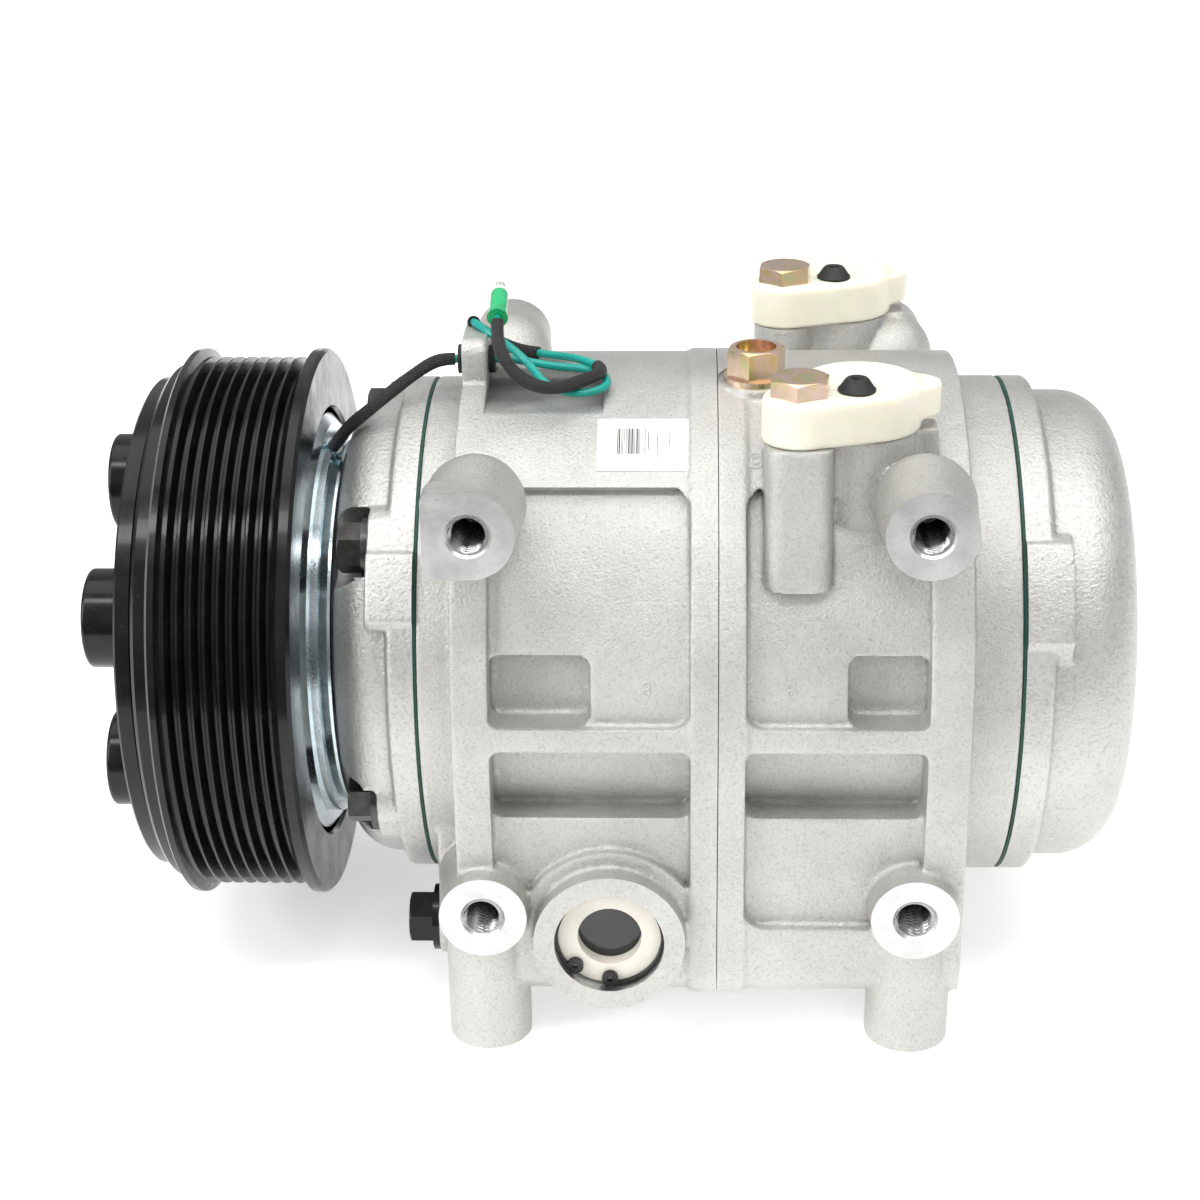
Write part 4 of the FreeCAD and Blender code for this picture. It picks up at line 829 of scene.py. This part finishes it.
def rear_small_holes(bm):
    for bolt_x, bolt_y, port_x, port_y in port_places():
        cylinder(bm, (bolt_x, bolt_y, PORT_TOP - 16), (bolt_x, bolt_y, PORT_TOP + 2), 3.4,
                 steps=32)
        cylinder(bm, (port_x, port_y, PORT_TOP - 12), (port_x, port_y, PORT_TOP + 2), PORT_R,
                 steps=64)
    cylinder(bm, (*OIL, 154), (*OIL, 172), PLUG_HOLE_R, steps=32)


# ---- heads ----
def head_casting(node, face, inward, seat, depth, bolt_end):
    """One head: its recess and chambers open on the gasket face, its bolt holes along X."""
    def span(bm, x0, x1, radius, y=0.0, z=AXIS_Z, steps=64):
        lo, hi = sorted((x0, x1))
        cylinder(bm, (lo, y, z), (hi, y, z), radius, steps=steps)

    def plugs(bm):
        span(bm, face - inward * STOCK, face + inward * depth, 64.6, steps=96)
        for y, z in bolt_places():
            span(bm, face, bolt_end, 5.4, y, z)

    def open_face(bm):
        far = face - inward * 60
        block(bm, (min(face, far), -90, 0), (max(face, far), 90, 190))
        span(bm, face - inward, seat, 64.1, steps=128)

    def ring(outer, inner):
        lo, hi = sorted((seat - inward * 0.5, seat + inward * 11.0))
        return lambda bm: ring_tool(bm, lo, hi, outer, inner)

    def holes(bm):
        for y, z in bolt_places():
            span(bm, face - inward * 9, bolt_end + inward * 8, BOLT_HOLE_R, y, z, steps=32)

    stock = [(0, face, -STOCK * inward)]
    return plugs, stock, [open_face, ring(54.0, 41.0), ring(37.0, 22.0), holes]


def front_head():
    seat = HEAD_FACE_FRONT - 2.7
    plugs, stock, tools = head_casting("front_head", HEAD_FACE_FRONT, -1, seat, 9.0,
                                       BOLT_SEAT_X)

    def all_plugs(bm):
        plugs(bm)
        cylinder(bm, (-139.9, 0, AXIS_Z), (-90, 0, AXIS_Z), 15.0)

    def nose(bm):
        cylinder(bm, (-145, 0, AXIS_Z), (-70, 0, AXIS_Z), 11.0)
        cylinder(bm, (-145, 0, AXIS_Z), (-127, 0, AXIS_Z), 14.5)

    def spot_faces(bm):
        for y, z in bolt_places():
            cylinder(bm, (BOLT_SEAT_X - 5, y, z), (BOLT_SEAT_X, y, z), 9.4, steps=48)

    casting("front_head", HEAD_CAST, all_plugs, stock, tools + [nose, spot_faces])


def rear_head():
    seat = HEAD_FACE_REAR + 2.7
    plugs, stock, tools = head_casting("rear_head", HEAD_FACE_REAR, 1, seat, 20.5, 99.0)

    def centre(bm):
        cylinder(bm, (80, 0, AXIS_Z), (seat + 4, 0, AXIS_Z), 11.5)

    casting("rear_head", HEAD_CAST, plugs, stock, tools + [centre])


cast_sight_face(half_casting("front_cylinder_block", -1, front_extra,
                             [sight_bore, front_small_holes], [lug_recess]))
half_casting("rear_cylinder_block", 1, rear_extra, [pad_cut, rear_small_holes])
front_head()
rear_head()


# ---- threads cut in the side bosses and the feet ----
def thread(bm, mouth, inward, length, pitch=1.5, steps=40):
    """A closed sleeve whose inner wall is one screw thread, filling a tapped hole."""
    turn = Vector(inward).to_track_quat("Z", "Y").to_matrix()
    rows = int(length / pitch * 6)
    inner, outer = [], []
    for k in range(rows + 1):
        depth = length * k / rows
        for store, is_inner in ((inner, True), (outer, False)):
            ring = []
            for i in range(steps):
                phase = (depth / pitch - i / steps) % 1.0
                crest = 1.0 - abs(2.0 * phase - 1.0)
                r = THREAD_MAJOR - (THREAD_MAJOR - THREAD_MINOR) * crest if is_inner else TAPPED_R
                a = 2 * math.pi * i / steps
                local = Vector((r * math.cos(a), r * math.sin(a), depth))
                ring.append(bm.verts.new((Vector(mouth) + turn @ local) * MM))
            store.append(ring)
    faces = []
    for i in range(steps):
        j = (i + 1) % steps
        for a, b in zip(inner, inner[1:]):
            faces.append(bm.faces.new((a[i], a[j], b[j], b[i])))
        for a, b in zip(outer, outer[1:]):
            faces.append(bm.faces.new((a[j], a[i], b[i], b[j])))
        faces.append(bm.faces.new((outer[0][i], outer[0][j], inner[0][j], inner[0][i])))
        faces.append(bm.faces.new((inner[-1][i], inner[-1][j], outer[-1][j], outer[-1][i])))
    bmesh.ops.recalc_face_normals(bm, faces=faces)


def threads():
    def build(bm):
        for x in (-MOUNT_X, MOUNT_X):
            for flank in (-1, 1):
                thread(bm, (x, flank * FOOT_Y, 0.6), (0, 0, 1), 16.0)
                for z in SIDE_Z:
                    thread(bm, (x, flank * (SIDE_FACE_Y - 0.7), z), (0, -flank, 0), 20.0)
    piece = solids("tapped_threads", build, BORE_SHADED_THREAD)
    smooth(piece, 24.0)
    settle(piece, "housing", "cast_aluminium")


threads()


# ---- moulded caps and their stoppers ----
def moulded(node):
    """A copy of a CAD cap with its edges rounded over, as moulded plastic has."""
    piece = softened(node + "_moulded", welded(node), NYLON, voxel=0.45, rounds=14, keep=0.35)
    smooth(piece, 60.0)
    settle(piece, "housing", "nylon_white", node)


def around_z(profile, x, y, steps=64):
    """A closed solid turned about an upright axis, from a closed profile of (z, r)."""
    mesh = around_x(profile, 0.0, 0.0, steps)
    mesh.transform(Matrix.Translation(Vector((x, y, 0)) * MM) @ Matrix.Rotation(
        math.radians(-90), 4, "Y"))
    return mesh


def stoppers():
    """Each rubber stopper: a flange on the cap, a tapered body and a blind dimple on top."""
    bm = bmesh.new()
    for bolt_x, bolt_y, _, _ in port_places():
        profile = [(CAP_TOP - 5, 0.3), (CAP_TOP - 5, 3.5), (CAP_TOP, 3.55), (CAP_TOP + 0.05, 4.8),
                   (CAP_TOP + 0.6, 4.9), (CAP_TOP + 0.95, 4.5), (CAP_TOP + 2.9, 3.2),
                   (CAP_TOP + 3.4, 2.7), (CAP_TOP + 3.4, 1.6), (CAP_TOP + 3.1, 1.35),
                   (CAP_TOP + 1.3, 1.2), (CAP_TOP + 1.3, 0.3)]
        mesh = around_z(profile, bolt_x + STOPPER_SHIFT[0], bolt_y + STOPPER_SHIFT[1])
        bm.from_mesh(mesh)
        bpy.data.meshes.remove(mesh)
    bmesh.ops.recalc_face_normals(bm, faces=bm.faces)
    mesh = bpy.data.meshes.new("rubber_stoppers")
    bm.to_mesh(mesh)
    bm.free()
    piece = link("rubber_stoppers", mesh, RUBBER)
    smooth(piece, 40.0)
    settle(piece, "housing", "black_rubber", "cap_stoppers")


moulded("near_port_cap")
moulded("far_port_cap")
stoppers()


# ---- bars on the label, and raised cast marks ----
def curved_bar(bm, x0, x1, angle0, angle1, radius, lift=0.03, steps=4):
    """A thin closed strip lying on a round surface about the shaft axis."""
    sections = []
    for k in range(steps + 1):
        angle = angle0 + (angle1 - angle0) * k / steps
        corners = []
        for x, r in ((x0, radius), (x1, radius), (x1, radius + lift), (x0, radius + lift)):
            y, z = polar(r, angle)
            corners.append(bm.verts.new(Vector((x, y, z)) * MM))
        sections.append(corners)
    faces = [bm.faces.new(sections[0]), bm.faces.new(sections[-1][::-1])]
    for a, b in zip(sections, sections[1:]):
        for i in range(4):
            j = (i + 1) % 4
            faces.append(bm.faces.new((a[j], a[i], b[i], b[j])))
    bmesh.ops.recalc_face_normals(bm, faces=faces)


def label_print():
    """Plain bars and short rules that stand for the print, and spell nothing."""
    bars = random.Random(7)

    def build(bm):
        x = LABEL_X0 + 5.2
        while x < LABEL_X0 + 11.2:
            wide = bars.choice((0.14, 0.14, 0.24, 0.36))
            curved_bar(bm, x, x + wide, LABEL_LOW + 4.0, LABEL_LOW + 10.6, LABEL_R)
            x += wide + bars.choice((0.16, 0.22, 0.34))
        for x, start, end in ((12.4, 4.0, 10.6), (13.3, 5.0, 9.6), (15.6, 3.2, 8.6),
                              (18.9, 6.0, 9.4)):
            curved_bar(bm, LABEL_X0 + x, LABEL_X0 + x + 0.2, LABEL_LOW + start, LABEL_LOW + end,
                       LABEL_R)

    piece = solids("label_bars", build, INK)
    settle(piece, "housing", "label_paper")


def ring_mark(bm, x, radius, angle, ring_r, wire_r=0.28, steps=32):
    """A raised cast ring lying on a round surface about the shaft axis."""
    y, z = polar(radius, angle)
    out = Vector((0, *polar(1.0, angle))) - Vector((0, 0, AXIS_Z))
    turn = Matrix.Translation(Vector((x, y, z)) * MM) @ out.to_track_quat("Z", "Y").to_matrix(
        ).to_4x4()
    rings = []
    for i in range(steps):
        a = 2 * math.pi * i / steps
        ring = []
        for k in range(8):
            t = 2 * math.pi * k / 8
            r = ring_r + wire_r * math.cos(t)
            local = Vector((r * math.cos(a), r * math.sin(a), wire_r * math.sin(t))) * MM
            ring.append(bm.verts.new(turn @ local))
        rings.append(ring)
    faces = []
    for a, b in zip(rings, rings[1:] + rings[:1]):
        for k in range(8):
            j = (k + 1) % 8
            faces.append(bm.faces.new((a[k], a[j], b[j], b[k])))
    bmesh.ops.recalc_face_normals(bm, faces=faces)


def cast_marks():
    """Plain rings in place of the foundry's characters."""
    def build(bm):
        ring_mark(bm, 14.8, 77.45, 56.7, 2.3)
        ring_mark(bm, 14.8, 77.45, 56.7, 1.0)
        for x in (-13.6, 23.8):
            ring_mark(bm, x, 74.5, 11.2, 0.95)
            ring_mark(bm, x, 74.5, 9.7, 0.95)
    piece = solids("cast_marks", build, CAST)
    smooth(piece)
    settle(piece, "housing", "cast_aluminium")


label_print()
cast_marks()

# ---- light and floor ----
def softbox(name, place, target, size, power):
    data = bpy.data.lights.new(name, "AREA")
    data.shape = "RECTANGLE"
    data.size, data.size_y = size
    data.energy = power
    lamp = bpy.data.objects.new(name, data)
    bpy.context.scene.collection.objects.link(lamp)
    lamp.location = place
    lamp.rotation_euler = (Vector(target) - Vector(place)).to_track_quat("-Z", "Y").to_euler()


def studio():
    world = bpy.data.worlds.new("studio")
    world.use_nodes = True
    tree = world.node_tree
    back = tree.nodes["Background"]
    coords = add(tree, "ShaderNodeTexCoord")
    split = add(tree, "ShaderNodeSeparateXYZ")
    tree.links.new(coords.outputs["Generated"], split.inputs["Vector"])
    height = add(tree, "ShaderNodeMapRange", From_Min=-1.0, From_Max=1.0)
    tree.links.new(split.outputs["Z"], height.inputs["Value"])
    sky = ramp(tree, height.outputs["Result"], list(zip((0.0, 0.42, 0.55, 0.7, 1.0),
                                                        grey(0.4, 0.36, 0.5, 1.1, 0.9))))
    tree.links.new(sky, back.inputs["Color"])
    back.inputs["Strength"].default_value = 0.55
    bpy.context.scene.world = world
    softbox("top_light", (0.0, 0.15, 1.3), (0, 0, 0.1), (2.0, 0.8), 8.0)
    softbox("key_light", (0.08, -0.55, 1.3), (0, 0, 0.12), (2.0, 0.2), 12.0)
    softbox("left_light", (-1.2, -0.7, 0.7), (0, 0, 0.1), (0.4, 0.9), 10.0)
    softbox("front_light", (0.5, -1.3, 0.9), (0, 0, 0.1), (0.6, 0.5), 2.2)
    floor_material, tree, bsdf = shader("studio_floor", Roughness=0.9)
    tone = noise(tree, object_coords(tree), 2.0)
    tree.links.new(ramp(tree, tone, list(zip((0.3, 0.7), grey(0.93, 0.95)))),
                   bsdf.inputs["Base Color"])
    bsdf.inputs["Emission Color"].default_value = (1.0, 1.0, 1.0, 1.0)
    away = add(tree, "ShaderNodeVectorMath", operation="LENGTH")
    tree.links.new(object_coords(tree), away.inputs[0])
    glow = add(tree, "ShaderNodeMapRange", From_Min=0.3, From_Max=1.3, To_Min=0.42, To_Max=0.85)
    tree.links.new(away.outputs["Value"], glow.inputs["Value"])
    tree.links.new(glow.outputs["Result"], bsdf.inputs["Emission Strength"])
    floor = solids("studio_floor", lambda bm: block(bm, (-3000, -420, -6), (3000, 3500, -0.05)),
                   floor_material)
    bpy.context.scene.view_settings.view_transform = "Standard"


studio()

bpy.context.view_layer.update()
